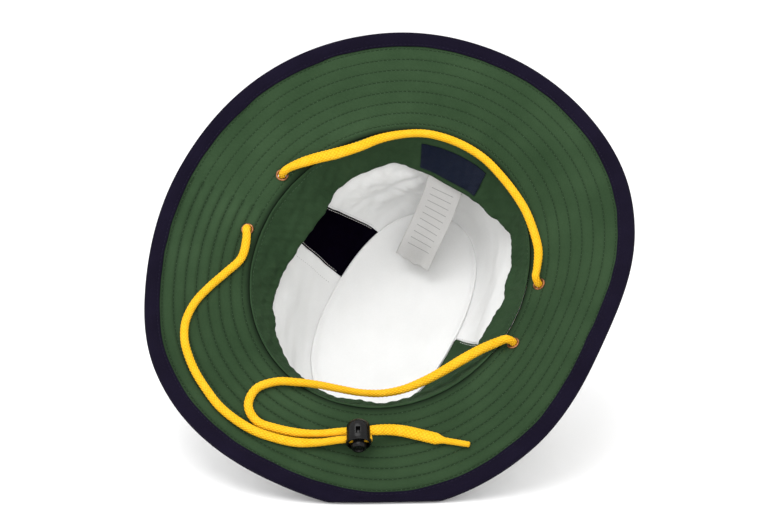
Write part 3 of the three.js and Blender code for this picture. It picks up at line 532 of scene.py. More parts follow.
def brim_sheet(side, lift, height, stack):
    """One face of the brim: side -1 is the underside, whose inner edge is tucked in at the seam."""
    def place(u, v):
        out = stations[np.rint(v * (len(stations) - 1)).astype(int)]
        degrees = 360 * u
        tucked = 1.3 * np.clip(0.1 - out, 0, 1) ** 0.7 if side < 0 else 0
        out = out if side < 0 else np.maximum(out, 0)
        shown = lift + side * quilting(degrees, out, height) + tucked
        return at_rest(on_brim(degrees, out, shown), stack)

    def measure(u, v):
        out = stations[np.rint(v * (len(stations) - 1)).astype(int)]
        return np.stack([u * (ring_length + 2 * math.pi * out), out], axis=1) / 1000

    bm = woven_grid(around_steps, len(stations) - 1, place, measure, merge=0.001)
    punch_eyelets(bm)
    return bm


green_cotton = cloth_finish("green cotton", (0.022, 0.046, 0.020, 1), (0.036, 0.069, 0.032, 1), rows=True)
underside_sheet = brim_sheet(-1, lift=0.05, height=0.42, stack=2.04)
brim_underside = finished("brim_underside_cloth", underside_sheet, green_cotton)
dress(brim_underside, "brim_underside")


# Stitches of the brim
# Lockstitches about 3 mm apart in each row, sunk into the channels. Green thread shows below and white
# thread above.
def thread_finish(name, deep, light):
    finish = Finish(name, roughness=0.7, specular=0.15)
    twist = finish.noise(1800, 2)
    finish.set({"Base Color": finish.mixed(finish.between(twist, 0.35, 0.7), deep, light)})
    finish.bump(twist, 0.00008)
    return finish.material


def one_stitch():
    """Corners and faces of a plump stitch, two across in every direction and lying along X."""
    bm = bmesh.new()
    lying = Matrix.Rotation(math.pi / 2, 4, "Y")
    bmesh.ops.create_uvsphere(bm, u_segments=5, v_segments=3, radius=1, matrix=lying)
    corners = np.array([vert.co[:] for vert in bm.verts])
    faces = [[vert.index for vert in face.verts] for face in bm.faces]
    bm.free()
    return corners, faces


def sewn(name, lines, material, pitch=STITCH_PITCH, length=1.5, wide=0.4, proud=0.3):
    """Short raised stitches along lines of points, each with the direction that faces out."""
    corners, faces = one_stitch()
    all_corners = []
    all_faces = []
    for points, facing in lines:
        reach = np.concatenate([[0], np.cumsum(np.linalg.norm(np.diff(points, axis=0), axis=1))])
        count = max(1, int(reach[-1] / pitch))
        middles = (np.arange(count) + 0.5) * reach[-1] / count
        start, end, out = (
            np.stack([np.interp(middles + s, reach, values[:, k]) for k in range(3)], axis=1)
            for s, values in ((-0.5, points), (0.5, points), (0, facing)))
        along = (end - start) / np.linalg.norm(end - start, axis=1)[:, None]
        side = np.cross(out, along)
        side /= np.linalg.norm(side, axis=1)[:, None]
        out = np.cross(along, side)
        for i in range(count):
            frame_of = np.stack([along[i] * length / 2, side[i] * wide / 2, out[i] * proud / 2])
            offset = len(all_corners) * len(corners)
            all_corners.append(corners @ frame_of + (start[i] + end[i]) / 2)
            all_faces += [[offset + k for k in face] for face in faces]
    mesh = bpy.data.meshes.new(name)
    mesh.from_pydata(np.concatenate(all_corners) / 1000, [], all_faces)
    mesh.materials.append(material)
    mesh.shade_smooth()
    piece = bpy.data.objects.new(name, mesh)
    bpy.context.scene.collection.objects.link(piece)
    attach(piece, "hat")


def facing_from(points, base):
    """Direction from each base point to its point."""
    facing = points - base
    return facing / np.linalg.norm(facing, axis=1)[:, None]


ring = np.linspace(0, 360, 361)


def brim_row(out, lift, side, stack):
    """A row of stitches around the brim, on its underside where side is -1."""
    points = at_rest(on_brim(ring, ring * 0 + out, ring * 0 + lift), stack)
    base = at_rest(on_brim(ring, ring * 0 + out, ring * 0 + lift - side))
    return points, facing_from(points, base)


green_thread = thread_finish("green thread", (0.03, 0.06, 0.03, 1), (0.09, 0.15, 0.085, 1))
white_thread = thread_finish("white thread", (0.6, 0.6, 0.58, 1), (0.85, 0.85, 0.83, 1))
rows_below = [brim_row(row, 0.04, -1, 2.0) for row in STITCH_ROWS]
sewn("brim_stitches_below", rows_below, green_thread, pitch=2.9, length=1.1, wide=0.34)

# Brim, top side
# The white cotton that faces up when the hat is worn. It has the shape of the underside and is quilted
# to it by the same rows of stitches.
white_cotton = cloth_finish("white cotton", (0.83, 0.83, 0.825, 1), (0.90, 0.90, 0.895, 1))
top_sheet = brim_sheet(1, lift=BRIM_THICK - 0.3, height=0.38, stack=0.66)
brim_top = finished("brim_top_cloth", top_sheet, white_cotton)
dress(brim_top, "brim_top")
rows_above = [brim_row(row, BRIM_THICK - 0.25, 1, 0.7) for row in STITCH_ROWS]
sewn("brim_stitches_above", rows_above, white_thread)

# Binding
# Navy twill tape, folded over the brim's edge and sewn down near its inner edges. The section runs once
# around the tape, as how far out it lies and how high.
TWILL_RIDGE = 0.7
BRIM_EDGE_LENGTH = 975


def twill_finish(name, deep, light):
    finish = Finish(name, roughness=0.85, specular=0.08)
    across, up = finish.along()
    ridges = ((across + up) * (2000 * math.pi / TWILL_RIDGE)).math("SINE")
    fibres = finish.noise(1200, 3)
    patches = finish.noise(40, 3)
    share = finish.between(ridges * 0.12 + fibres * 0.4 + patches * 0.5, 0.3, 0.7)
    finish.set({"Base Color": finish.mixed(share, deep, light)})
    finish.bump(ridges * 0.5 + fibres * 0.5, 0.00009)
    return finish.material


BINDING_SECTION = [
    (57.0, -0.45), (57.05, -0.95), (57.5, -1.15), (58.2, -1.02), (58.5, -0.94), (58.8, -1.04), (60, -1.32),
    (62, -1.42), (64, -1.38), (65.6, -1.2), (66.5, -0.75), (67, 0), (67.15, 1.15), (67, 2.3), (66.5, 3.0),
    (65.6, 3.45), (64, 3.62), (62, 3.64), (60, 3.54), (58.8, 3.32), (58.5, 3.24), (58.2, 3.32), (57.5, 3.42),
    (57.05, 3.2), (57.0, 2.75), (58.5, 2.62), (66, 2.5), (66.2, -0.2), (58.5, -0.32), (57.0, -0.45),
]
section = np.array(BINDING_SECTION)
section_length = np.concatenate([[0], np.cumsum(np.linalg.norm(np.diff(section, axis=0), axis=1))])


def binding_place(u, v):
    row = np.rint(v * (len(section) - 1)).astype(int)
    degrees = 360 * u
    out, lift = section[row, 0], section[row, 1]
    base = on_brim(degrees, out, lift) * np.array([1, 1, 0])
    side = np.where(lift < 1, -1.0, 1.0)
    wing = np.clip((66 - out) / 8, 0, 1)
    out = out + 0.22 * ripple(base, 11, 19) * wing
    inner = BRIM_WIDTH - BINDING_WIDTH
    between_edges = np.sin(math.pi * np.clip((out - inner) / BINDING_WIDTH, 0, 1))
    lift = lift + side * 0.1 * ripple(base, 12, 11) * between_edges
    points = on_brim(degrees, out, lift)
    stack = np.interp(lift, [-1.1, 0, 2.3, 3.4], [2.7, 1.86, 0.5, 0.0])
    return at_rest(points, stack)


def binding_measure(u, v):
    row = np.rint(v * (len(section) - 1)).astype(int)
    return np.stack([u * BRIM_EDGE_LENGTH, section_length[row]], axis=1) / 1000


navy_twill = twill_finish("navy twill tape", (0.0034, 0.0020, 0.0085, 1), (0.0080, 0.0056, 0.018, 1))
bm = woven_grid(around_steps, len(section) - 1, binding_place, binding_measure, merge=0.001)
bmesh.ops.recalc_face_normals(bm, faces=bm.faces)
binding = finished("brim_binding_tape", bm, navy_twill)
dress(binding, "brim_binding")
navy_thread = thread_finish("navy thread", (0.006, 0.005, 0.014, 1), (0.016, 0.014, 0.032, 1))
sewn("binding_stitches", [brim_row(58.5, -0.98, -1, 2.74), brim_row(58.5, 3.28, 1, 0)],
     navy_thread, pitch=2.8, length=1.8)

# Crown wall
# Four cotton panels, tapered from the seam to the tip: a narrow navy one, a wide white one at the back,
# a green one and a wide white one at the front. Sections run from the seam up as shares of the crown's
# 92 mm and of the opening. aside and back move a section's middle, square fills out its corners.
CROWN_HEIGHT = 92
CROWN_SECTIONS = {
    "rise": (0, 0.3, 0.62, 0.88, 1),
    "width": (1, 0.885, 0.745, 0.61, 0.519),
    "length": (1, 0.955, 0.905, 0.865, 0.8),
    "aside": (0, 0, 0.015, 0.035, 0.05),
    "back": (0, 0.005, 0.015, 0.03, 0.045),
    "square": (2, 2, 2.1, 2.2, 2.3),
}
# Dents: direction in degrees, share of the height, reach around and upwards, depth in millimetres
WALL_DENTS = (
    (52, 0.46, 24, 0.1, 3.04), (75, 0.66, 20, 0.12, 2.02),
    (160, 0.62, 30, 0.16, 3.5), (335, 0.6, 28, 0.18, 2.48),
)
WALL_RADIUS = 80
PANEL_GAP = 0.05
# Panels: node, slot, and each edge's direction in degrees at the foot, halfway and at the top
PANELS = [
    ("crown_wall_navy", "navy_cloth", (-3, 3, 6), (12, 24, 37)),
    ("crown_wall_back", "white_cloth", (12, 24, 37), (196, 186, 179.5)),
    ("crown_wall_green", "green_cloth", (196, 186, 179.5), (238, 238, 232)),
    ("crown_wall_front", "white_cloth", (238, 238, 232), (357, 363, 366)),
]


def at_rise(column, share):
    """Smooth value of a column of the sections at a share of the height."""
    rise = np.array(CROWN_SECTIONS["rise"])
    value = np.array(CROWN_SECTIONS[column], float)
    last = len(rise) - 1
    slope = []
    for i in range(last + 1):
        below, above = max(i - 1, 0), min(i + 1, last)
        slope.append((value[above] - value[below]) / (rise[above] - rise[below]))
    slope = np.array(slope)
    row = np.clip(np.searchsorted(rise, share, side="right") - 1, 0, last - 1)
    span = rise[row + 1] - rise[row]
    s = (share - rise[row]) / span
    return ((2 * s**3 - 3 * s**2 + 1) * value[row] + (s**3 - 2 * s**2 + s) * span * slope[row]
            + (3 * s**2 - 2 * s**3) * value[row + 1] + (s**3 - s**2) * span * slope[row + 1])


def turned_from(degrees, at):
    """Degrees past a direction, from -180 to 180."""
    return (degrees - at + 180) % 360 - 180


def on_wall(degrees, share):
    width = at_rise("width", share) * OPENING[0] / 2
    length = at_rise("length", share) * OPENING[1] / 2
    flat = oval(width, length, at_rise("square", share), degrees)
    flat[:, 0] *= 1 - OPENING_NARROWING * np.sin(np.radians(degrees))
    dent = np.zeros(len(degrees))
    for at, rise, wide, high, deep in WALL_DENTS:
        dent += deep * np.exp(-(turned_from(degrees, at) / wide) ** 2 - ((share - rise) / high) ** 2)
    flat *= (1 - dent / np.linalg.norm(flat, axis=1))[:, None]
    aside = at_rise("aside", share) * OPENING[0] / 2
    back = at_rise("back", share) * OPENING[1] / 2
    return np.column_stack([flat + np.stack([aside, back], axis=1), share * CROWN_HEIGHT])


def lifted(surface, degrees, share, lift):
    """Point off a surface that runs around the hat, along its outward side."""
    step = 0.01
    along = surface(degrees + 0.5, share) - surface(degrees - 0.5, share)
    low, high = np.maximum(share - step, 0), np.minimum(share + step, 1)
    out = np.cross(along, surface(degrees, high) - surface(degrees, low))
    out /= np.linalg.norm(out, axis=1)[:, None]
    return surface(degrees, share) + out * np.asarray(lift)[..., None]


def wall_lift(degrees, share):
    """Soft creases of the crown, sharper at the back, and a slight tuck beside the tip's seam."""
    base = on_wall(degrees, share)
    soft = 0.5 * ripple(base, 21, 38) + 0.25 * ripple(base, 22, 17)
    crumpled = np.exp(-(turned_from(degrees, 62) / 34) ** 2 - ((share - 0.5) / 0.35) ** 2)
    crumpled *= np.clip((share - 0.29) / 0.14, 0, 1)
    folds = np.abs(ripple(base * np.array([1, 1, 2.2]), 23, 30)) + 0.5 * np.abs(ripple(base, 24, 14))
    lift = soft - crumpled * 1.9 * folds
    lift *= np.clip(share / 0.15, 0, 1) * np.clip((1 - share) / 0.06, 0, 1)
    return lift - 0.4 * np.exp(-((share - 0.98) / 0.03) ** 2)


def seam_angle(seam, share):
    """Direction of a panel's edge, curving through its three given directions."""
    low, middle, high = seam
    bend = 2 * low - 4 * middle + 2 * high
    return low + (high - low - bend) * share + bend * share**2


WALL_START = 2.75 / CROWN_HEIGHT


def wall_panel(seam_from, seam_to):
    columns = max(16, int((seam_to[1] - seam_from[1]) * (1.6)))

    def place(u, v):
        share = WALL_START + (1 - WALL_START) * v
        start, end = seam_angle(seam_from, share), seam_angle(seam_to, share)
        degrees = start + PANEL_GAP + (end - start - 2 * PANEL_GAP) * u
        wide = np.radians(end - start) * WALL_RADIUS
        edge = np.minimum(u, 1 - u) * wide
        lift = wall_lift(degrees, share) + 0.45 * np.exp(-(edge / 1.1) ** 2)
        return at_rest(lifted(on_wall, degrees, share, lift), 1.0)

    def measure(u, v):
        wide = math.radians(seam_to[1] - seam_from[1]) * WALL_RADIUS
        return np.stack([u * wide, v * CROWN_HEIGHT], axis=1) / 1000

    return woven_grid(columns, 56, place, measure)


navy_deep, navy_light = (0.0010, 0.0005, 0.0022, 1), (0.0024, 0.0013, 0.0050, 1)
navy_cotton = cloth_finish("navy cotton", navy_deep, navy_light, specular=0.0)
plain_green = cloth_finish("plain green cotton", (0.021, 0.045, 0.020, 1), (0.034, 0.067, 0.031, 1))
panel_cloth = {"navy_cloth": navy_cotton, "white_cloth": white_cotton, "green_cloth": plain_green}
for node, slot, seam_from, seam_to in PANELS:
    panel = finished(node + "_cloth", wall_panel(seam_from, seam_to), panel_cloth[slot])
    dress(thicken(panel, CLOTH, 1), node)


# Stitches of the crown
# The panel seams lie open inside and are topstitched on both sides, about 1.2 mm from the seam. A second
# row holds the seam allowance beside the navy panel. Rows run between two shares of the wall's height.
def wall_row(seam, aside, start, end, side=-1):
    share = np.linspace(start, end, 60)
    degrees = seam_angle(seam, share) + aside / 1.3
    off = wall_lift(degrees, share) + (-0.05 if side < 0 else CLOTH + 0.05)
    points = at_rest(lifted(on_wall, degrees, share, off), 0.6)
    base = at_rest(lifted(on_wall, degrees, share, off - side), 0.0)
    return points, facing_from(points, base)


inside_rows = [wall_row(PANELS[0][2], 0.9, 0.2, 0.93)]
inside_rows += [wall_row(panel[3], aside, 0.2, 0.93) for panel in PANELS[:3] for aside in (-1.2, 1.2)]
sewn("crown_stitches_inside", inside_rows, white_thread, pitch=2.5, length=1.9)
grey_thread = thread_finish("grey thread", (0.4, 0.4, 0.39, 1), (0.6, 0.6, 0.58, 1))
allowance_row = wall_row(PANELS[0][2], -7.5, 0.2, 0.93)
sewn("crown_stitches_allowance", [allowance_row], grey_thread, pitch=2.5)
outside_rows = [wall_row(panel[2], aside, 0.05, 0.97, 1) for panel in PANELS for aside in (-1.3, 1.3)]
sewn("crown_stitches_outside", outside_rows, white_thread, pitch=2.5, length=1.9)

# Crown tip
# A shallow white dome sewn inside the top of the wall. Its rim is pulled down to the seam, so that the
# two meet in a soft curve. Each dent has its place as shares of the tip's half width and half length, its
# reach and its depth.
TIP_DOME = 7
TIP_HALF = (44.4, 77.6)
TIP_GAP = 0.45
TIP_DENTS = ((-0.45, 0.3, 0.4, 3.96), (0.3, -0.2, 0.5, 2.02))


def on_tip(degrees, share):
    rim = on_wall(degrees, share * 0 + 1)
    aside, back = CROWN_SECTIONS["aside"][-1], CROWN_SECTIONS["back"][-1]
    middle = np.array([aside * OPENING[0] / 2, back * OPENING[1] / 2])
    reach = rim[:, :2] - middle
    inset = 1 - TIP_GAP / np.linalg.norm(reach, axis=1)
    flat = reach * (share * inset)[:, None]
    height = CROWN_HEIGHT - CLOTH + TIP_DOME * (1 - share**2.2)
    for aside, back, wide, deep in TIP_DENTS:
        far = np.hypot(flat[:, 0] / TIP_HALF[0] - aside, flat[:, 1] / TIP_HALF[1] - back) / wide
        height -= deep * np.exp(-far**2) * (1 - share**4)
    return np.column_stack([middle + flat, height])


def tip_place(u, v):
    degrees = 360 * u
    base = on_tip(degrees, v)
    flat = base * np.array([1, 1, 0])
    soft = 0.7 * ripple(flat, 31, 46) + 0.35 * ripple(flat, 32, 21)
    pulled = 1.8 * np.exp(-((1 - v) / 0.045) ** 2)
    base[:, 2] -= soft * (1 - v**6) + pulled
    laid = at_rest(base)
    rim = on_wall(degrees, v * 0 + 1)
    carried = at_rest(rim, 0.6) - at_rest(rim, -99)
    return laid + carried * (v**12)[:, None]


def tip_measure(u, v):
    points = on_tip(360 * u, v)
    return points[:, :2] / 1000


bm = woven_grid(240, 48, tip_place, tip_measure, merge=0.001)
tip = finished("crown_tip_cloth", bm, white_cotton)
dress(thicken(tip, CLOTH, -1), "crown_tip")


off_the_tip = np.array((hat_to_floor.to_3x3() @ Vector((0, 0, 1))).normalized())


def tip_row(share, lift):
    points = on_tip(ring, ring * 0 + share)
    points[:, 2] += lift
    laid = at_rest(points, 0.3)
    return laid, facing_from(laid, laid - off_the_tip)


tip_rows = [tip_row(0.95, CLOTH + 0.05)]
sewn("tip_stitches", tip_rows, white_thread, pitch=2.5, length=1.9)

# Sweatband
# A strip of the green cotton, sewn in at the seam, that stands a little off the crown wall. Its free
# edge waves, and it is creased where a head has pressed it. Waves in millimetres every 15 degrees.
SWEATBAND_HEIGHT = 27
SWEATBAND_CLOTH = 0.9
SWEATBAND_INSET = 1.2
SWEATBAND_FREE = (0.81, 0.865)
SWEATBAND_STITCH = 3.2
LABEL_AT = 91
SWEATBAND_WAVES = (
    -4, -5, 2, 3.5, 4, -2.5, -7, -6.5, -3, 3.8, 3.4, 0,
    -1.5, -0.8, -1, -0.3, 0.5, 0.7, 1, 2.2, 4, 3.5, 3.5, -0.5,
)


def on_band(degrees, share):
    edge, outward = opening_edge(degrees)
    foot = edge - outward * SWEATBAND_INSET
    free = oval(SWEATBAND_FREE[0] * OPENING[0] / 2, SWEATBAND_FREE[1] * OPENING[1] / 2, 2, degrees)
    free *= (1 + around(SWEATBAND_WAVES, degrees) / np.linalg.norm(free, axis=1))[:, None]
    s = (share**1.15)[:, None]
    return np.column_stack([foot * (1 - s) + free * s, SWEATBAND_HEIGHT * share])


def band_lift(degrees, share):
    """Waves and creases of the band, quieter under the label, and the dip of its stitches."""
    base = on_band(degrees, share)
    quiet = 1 - 0.8 * np.exp(-(turned_from(degrees, LABEL_AT) / 19) ** 4)
    waves = 0.9 * ripple(base * np.array([1, 1, 0.25]), 41, 26) * share
    waves += 0.6 * ripple(base, 42, 12) * share**0.5
    fine = 0.32 * ripple(base * np.array([1, 1, 0.5]), 43, 6)
    channel = 0.35 * np.exp(-((share * SWEATBAND_HEIGHT - SWEATBAND_STITCH) / 0.7) ** 2)
    return (waves + fine * np.clip(share / 0.15, 0, 1)) * quiet + channel


def band_face(degrees, share, lift):
    return at_rest(lifted(on_band, degrees, share, band_lift(degrees, share) + lift))


def band_place(u, v):
    return band_face(360 * u, v, u * 0)


def band_measure(u, v):
    return np.stack([u * ring_length, v * SWEATBAND_HEIGHT], axis=1) / 1000


bm = woven_grid(around_steps, 26, band_place, band_measure, merge=0.001)
sweatband = finished("sweatband_cloth", bm, plain_green)
dress(thicken(sweatband, SWEATBAND_CLOTH, 1), "sweatband")


def band_row(share):
    points = band_face(ring, ring * 0 + share, ring * 0 - 0.05)
    base = band_face(ring, ring * 0 + share, ring * 0 + 1)
    return points, facing_from(points, base)


band_rows = [band_row(SWEATBAND_STITCH / SWEATBAND_HEIGHT)]
sewn("sweatband_stitches", band_rows, green_thread, pitch=2.8, length=1.7)

# Woven label
# A plain navy satin label, sewn flat to the sweatband at the back of the head. Its ends are turned in
# and held by one row of stitches each.
LABEL_LENGTH = 45
LABEL_HEIGHT = 16
LABEL_FOOT = 8
SATIN_THREAD = 0.3


def satin_finish(name, deep, light, roughness):
    finish = Finish(name, roughness=roughness, specular=0.15)
    across, up = finish.along()
    floats = ((across + up * 4) * (2000 * math.pi / SATIN_THREAD)).math("SINE")
    fibres = finish.noise(1500, 3)
    share = finish.between(floats * 0.15 + fibres * 0.85, 0.3, 0.75)
    finish.set({"Base Color": finish.mixed(share, deep, light)})
    finish.bump(floats + fibres * 0.5, 0.00003)
    return finish


def label_point(u, v, lift):
    halfway = on_band(np.array([LABEL_AT + 0.5, LABEL_AT + 1.5]), np.array([0.5, 0.5]))
    per_degree = np.linalg.norm(halfway[1] - halfway[0])
    degrees = LABEL_AT + (u - 0.5) * LABEL_LENGTH / per_degree
    share = (LABEL_FOOT + LABEL_HEIGHT * v) / SWEATBAND_HEIGHT
    return band_face(degrees, share, lift)


def label_place(u, v):
    edge = np.minimum(np.minimum(u, 1 - u) * LABEL_LENGTH, np.minimum(v, 1 - v) * LABEL_HEIGHT)
    return label_point(u, v, -0.3 - 0.25 * np.clip(edge / 1.5, 0, 1))


def label_measure(u, v):
    return np.stack([u * LABEL_LENGTH, v * LABEL_HEIGHT], axis=1) / 1000


navy_satin = satin_finish("navy satin", (0.003, 0.006, 0.018, 1), (0.008, 0.014, 0.036, 1), 0.55).material
bm = woven_grid(90, 40, label_place, label_measure)
label = finished("woven_label_satin", bm, navy_satin)
dress(thicken(label, 0.5, -1), "woven_label")


def label_row(start, end):
    share = np.linspace(0, 1, 40)
    u = start[0] + (end[0] - start[0]) * share
    v = start[1] + (end[1] - start[1]) * share
    points = label_point(u, v, share * 0 - 0.95)
    return points, facing_from(points, label_point(u, v, share * 0))


rows = [label_row((0.03, 0.07), (0.03, 0.93)), label_row((0.97, 0.07), (0.97, 0.93))]
sewn("label_stitches", rows, navy_thread, pitch=2.4, length=1.6)

# Care label
# A white satin ribbon, tucked behind the sweatband, that hangs on into the crown and curls a little at
# its cut end. Plain grey rules cross its middle.
CARE_WIDTH = 25
CARE_LENGTH = 70
CARE_TUCK = 7
CARE_AT = 89
CARE_BEHIND = 2.5
CARE_LEAN = 36
CARE_SWING = -9
CARE_STEPS = 72
RIBBON_DEEP = (0.62, 0.61, 0.60, 1)
RIBBON_LIGHT = (0.70, 0.69, 0.68, 1)
RULE_PITCH = 5.2


def care_stations():
    """Middle, side and facing of the ribbon from its tucked end down, in hat axes."""
    one = np.array([float(CARE_AT)])
    behind = np.array([CARE_BEHIND])
    start = lifted(on_band, one, np.array([1 - CARE_TUCK / SWEATBAND_HEIGHT]), behind)[0]
    edge = lifted(on_band, one, np.array([1.0]), behind)[0]
    across = np.array([-math.sin(math.radians(CARE_AT)), math.cos(math.radians(CARE_AT)), 0])
    outward = np.cross(across, [0, 0, 1])
    along = (edge - start) / np.linalg.norm(edge - start)
    first_lean = math.atan2(-along @ outward, along[2])
    middle = start
    stations = []
    for i in range(CARE_STEPS + 1):
        share = i / CARE_STEPS
        bend = min(1, share * 7 / 3)
        bend = bend * bend * (3 - 2 * bend)
        lean = first_lean + (math.radians(CARE_LEAN) - first_lean) * bend
        swing = math.radians(CARE_SWING) * min(1, share * 7 / 4)
        straight = math.cos(lean) * np.array([0, 0, 1]) - math.sin(lean) * outward
        facing = math.cos(lean) * outward + math.sin(lean) * np.array([0, 0, 1])
        side = across * math.cos(swing) - straight * math.sin(swing)
        stations.append((middle, side, facing))
        ahead = straight * math.cos(swing) + across * math.sin(swing)
        middle = middle + (CARE_TUCK + CARE_LENGTH) / CARE_STEPS * ahead
    return (np.array(values) for values in zip(*stations))


care_middle, care_side, care_facing = care_stations()


def care_place(u, v):
    i = np.rint(v * CARE_STEPS).astype(int)
    free = np.clip((v - 0.2) / 0.8, 0, 1)
    twist = np.radians(3) * free
    aside = (u - 0.5) * CARE_WIDTH
    curl = 0.9 * free**2 * np.cos(2 * math.pi * (u * 0.9 - 0.1))
    curl += 0.9 * free * np.sin(2 * math.pi * (v * 1.5 + 0.25 * u))
    trim = (0.9 * np.sin(2 * math.pi * 1.3 * u + 0.4) + 0.5 * np.sin(2 * math.pi * 3.1 * u)) * free**10
    heading = np.cross(care_facing, care_side)[i]
    points = care_middle[i] + care_side[i] * (aside * np.cos(twist))[:, None]
    points = points - care_facing[i] * (curl + aside * np.sin(twist))[:, None]
    return at_rest(points - heading * trim[:, None])


def care_measure(u, v):
    return np.stack([u * CARE_WIDTH, v * (CARE_TUCK + CARE_LENGTH)], axis=1) / 1000


def care_finish():
    """Ribbon satin with grey rules across its middle, short of both ends."""
    finish = satin_finish("white satin ribbon", RIBBON_DEEP, RIBBON_LIGHT, 0.5)
    across, up = finish.along()
    base = finish.mixed(finish.noise(900, 3), RIBBON_DEEP, RIBBON_LIGHT)
    inside = (across - CARE_WIDTH / 2000).math("ABSOLUTE").math("LESS_THAN", 0.0078)
    rule = (up * (2000 * math.pi / RULE_PITCH)).math("SINE").math("GREATER_THAN", 0.955)
    from_top = up.math("GREATER_THAN", 0.0135)
    to_end = up.math("LESS_THAN", 0.068)
    rules = inside * rule * from_top * to_end * 0.6
    finish.set({"Base Color": finish.mixed(rules, base, (0.16, 0.16, 0.16, 1))})
    return finish.material


bm = woven_grid(24, CARE_STEPS, care_place, care_measure)
care = finished("care_label_ribbon", bm, care_finish())
dress(thicken(care, 0.35, 1), "care_label")

# Eyelets
# Brass rings of 8 mm, clenched through both layers of the brim, two on each side. Each has its direction
# in degrees, and the ring's section is in millimetres from its middle and through the brim.
EYELETS = (("left_back", 14.4), ("left_front", -9.2), ("right_back", 165.6), ("right_front", 189.2))
EYELET_OUT = 8.5
EYELET_RING = [
    (2.7, -0.55), (2.85, -0.85), (3.2, -1.02), (3.6, -0.95), (3.95, -0.7), (4.1, -0.35), (3.9, -0.3),
    (3.3, -0.3), (3.3, 2.5), (3.9, 2.55), (4.1, 2.7), (3.9, 2.95), (3.5, 3.15), (3.1, 3.2), (2.8, 3.05),
    (2.7, 2.8),
]


def brass_finish():
    finish = Finish("aged brass", roughness=0.38, metallic=1.0)
    tarnish = finish.noise(700, 4)
    share = finish.between(tarnish, 0.35, 0.7)
    finish.set({"Base Color": finish.mixed(share, (0.20, 0.075, 0.03, 1), (0.46, 0.21, 0.10, 1))})
    finish.set({"Roughness": tarnish * 0.3 + 0.25})
    finish.bump(finish.noise(2500, 2), 0.00002)
    return finish.material


aged_brass = brass_finish()
for name, at in EYELETS:
    bm = bmesh.new()
    rim = [bm.verts.new((r, 0, h)) for r, h in EYELET_RING]
    edges = [bm.edges.new((rim[i], rim[(i + 1) % len(rim)])) for i in range(len(rim))]
    bmesh.ops.spin(bm, geom=rim + edges, cent=(0, 0, 0), axis=(0, 0, 1), angle=2 * math.pi, steps=56,
                   use_merge=True)
    bmesh.ops.remove_doubles(bm, verts=bm.verts, dist=0.001)
    bmesh.ops.recalc_face_normals(bm, faces=bm.faces)
    low = on_brim(np.array([at]), np.array([EYELET_OUT]), np.array([0.0]))[0]
    high = on_brim(np.array([at]), np.array([EYELET_OUT]), np.array([1.0]))[0]
    stand = Vector((0, 0, 1)).rotation_difference(Vector(high - low)).to_matrix().to_4x4()
    bmesh.ops.transform(bm, matrix=hat_to_floor @ Matrix.Translation(low) @ stand, verts=bm.verts)
    eyelet = finished("eyelet_" + name + "_ring", bm, aged_brass)
    dress(eyelet, "eyelet_" + name)

# Cord lock
# A glossy black plastic barrel, domed at its closed end, with a sprung button in it. The slots of both
# line up when the button is pressed. Profiles give the radius and the height from the closed end.
LOCK_PLACE = (-11.4, -83.2, 37.7)
LOCK_ALONG = Vector((-0.9957, -0.0816, -0.0444))
LOCK_TRAVEL = Vector((0.092, -0.7996, -0.5934))
BARREL_WALL = 0.0013
BARREL_PROFILE = [
    (0.02, 0), (1.7, 0.13), (3.2, 0.52), (4.6, 1.18), (5.7, 1.98), (6.6, 3.0), (7.2, 4.1), (7.6, 5.5),
    (7.8, 7), (7.8, 8.4), (7.8, 9.8), (7.8, 11.2), (7.8, 12.8), (7.75, 14.3), (7.6, 15.2), (7.35, 15.95),
    (7.0, 16.35), (6.4, 16.4),
]
# Slot: from, to and half width. Window beside it: half width, from and to.
SLOT = (5.0, 13.9, 3.4)
WINDOW = (1.5, 8, 12.8)


def plastic_finish():
    finish = Finish("black plastic", roughness=0.2, specular=0.2)
    scuffs = finish.noise(420, 4)
    finish.set({"Roughness": finish.between(scuffs, 0.3, 0.8) * 0.14 + 0.2})
    finish.set({"Base Color": finish.mixed(scuffs, (0.0028, 0.0026, 0.0028, 1), (0.005, 0.0048, 0.005, 1))})
    finish.bump(finish.noise(900, 2), 0.00002)
    return finish.material


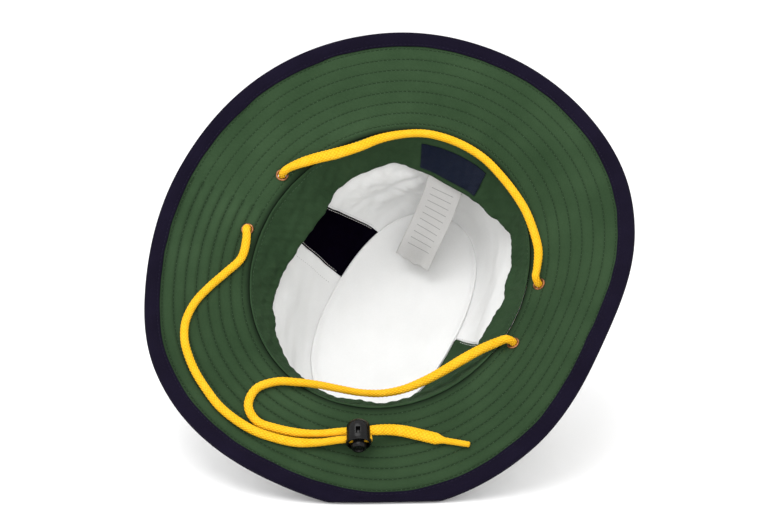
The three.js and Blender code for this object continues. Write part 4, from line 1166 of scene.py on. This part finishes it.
def turned_body(profile, columns, cut_out):
    """A round body on the lock's travel, without the faces whose middles cut_out picks."""
    profile = np.array(profile)

    def place(u, v):
        row = np.rint(v * (len(profile) - 1)).astype(int)
        angle = 2 * math.pi * u
        radius, height = profile[row, 0], profile[row, 1]
        return np.stack([radius * np.cos(angle), height, radius * np.sin(angle)], axis=1)

    def measure(u, v):
        return np.stack([u, v], axis=1) * 0.02

    bm = woven_grid(columns, len(profile) - 1, place, measure, merge=0.001)
    doomed = [face for face in bm.faces if cut_out(face.calc_center_median())]
    bmesh.ops.delete(bm, geom=doomed, context="FACES")
    bmesh.ops.recalc_face_normals(bm, faces=bm.faces)
    away = LOCK_ALONG.cross(LOCK_TRAVEL)
    lock_frame = Matrix((LOCK_ALONG, LOCK_TRAVEL, away)).transposed().to_4x4()
    bmesh.ops.transform(bm, matrix=Matrix.Translation(LOCK_PLACE) @ lock_frame, verts=bm.verts)
    return bm


def moulded(piece, wall, edge):
    """Give a moulded piece its wall and its slightly rounded edges, in metres."""
    shell = piece.modifiers.new("wall", "SOLIDIFY")
    shell.thickness = wall
    shell.offset = -1
    rounded = piece.modifiers.new("rounded edges", "BEVEL")
    rounded.width = edge
    rounded.segments = 2
    rounded.limit_method = "ANGLE"
    rounded.angle_limit = math.radians(50)


def barrel_openings(middle):
    sideways = abs(middle.z) < SLOT[2] and SLOT[0] < middle.y < SLOT[1]
    window = middle.z > 5 and abs(middle.x) < WINDOW[0] and WINDOW[1] < middle.y < WINDOW[2]
    return sideways or window


black_plastic = plastic_finish()
barrel = finished("cord_lock_barrel_shell", turned_body(BARREL_PROFILE, 72, barrel_openings), black_plastic)
moulded(barrel, BARREL_WALL, 0.0003)
dress(barrel, "cord_lock_barrel")

# Button of the cord lock
# Moulded of the same black plastic. It slides in the barrel against the spring, and its rounded head
# stands out of the open end.
BUTTON_WALL = 0.0012
BUTTON_PROFILE = [
    (0.02, 4.1), (2.8, 4.1), (4.1, 4.9), (4.8, 5.8), (5.2, 7.0), (5.3, 8.6), (5.3, 10.2), (5.3, 11.8),
    (5.3, 13.4), (5.25, 14.6), (4.65, 15.2), (4.6, 16.5), (4.6, 18.0), (4.45, 18.9), (4.1, 19.45),
    (3.6, 19.6), (3.1, 19.5), (2.9, 19.1), (2.8, 18.6), (0.02, 18.5),
]
BUTTON_SLOT = (4.9, 16.5, 3.3)


def button_openings(middle):
    return abs(middle.z) < BUTTON_SLOT[2] and BUTTON_SLOT[0] < middle.y < BUTTON_SLOT[1]


button = finished("cord_lock_button_body", turned_body(BUTTON_PROFILE, 64, button_openings), black_plastic)
moulded(button, BUTTON_WALL, 0.00025)
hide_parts("cord_lock_button")
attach(button, "lock_button")
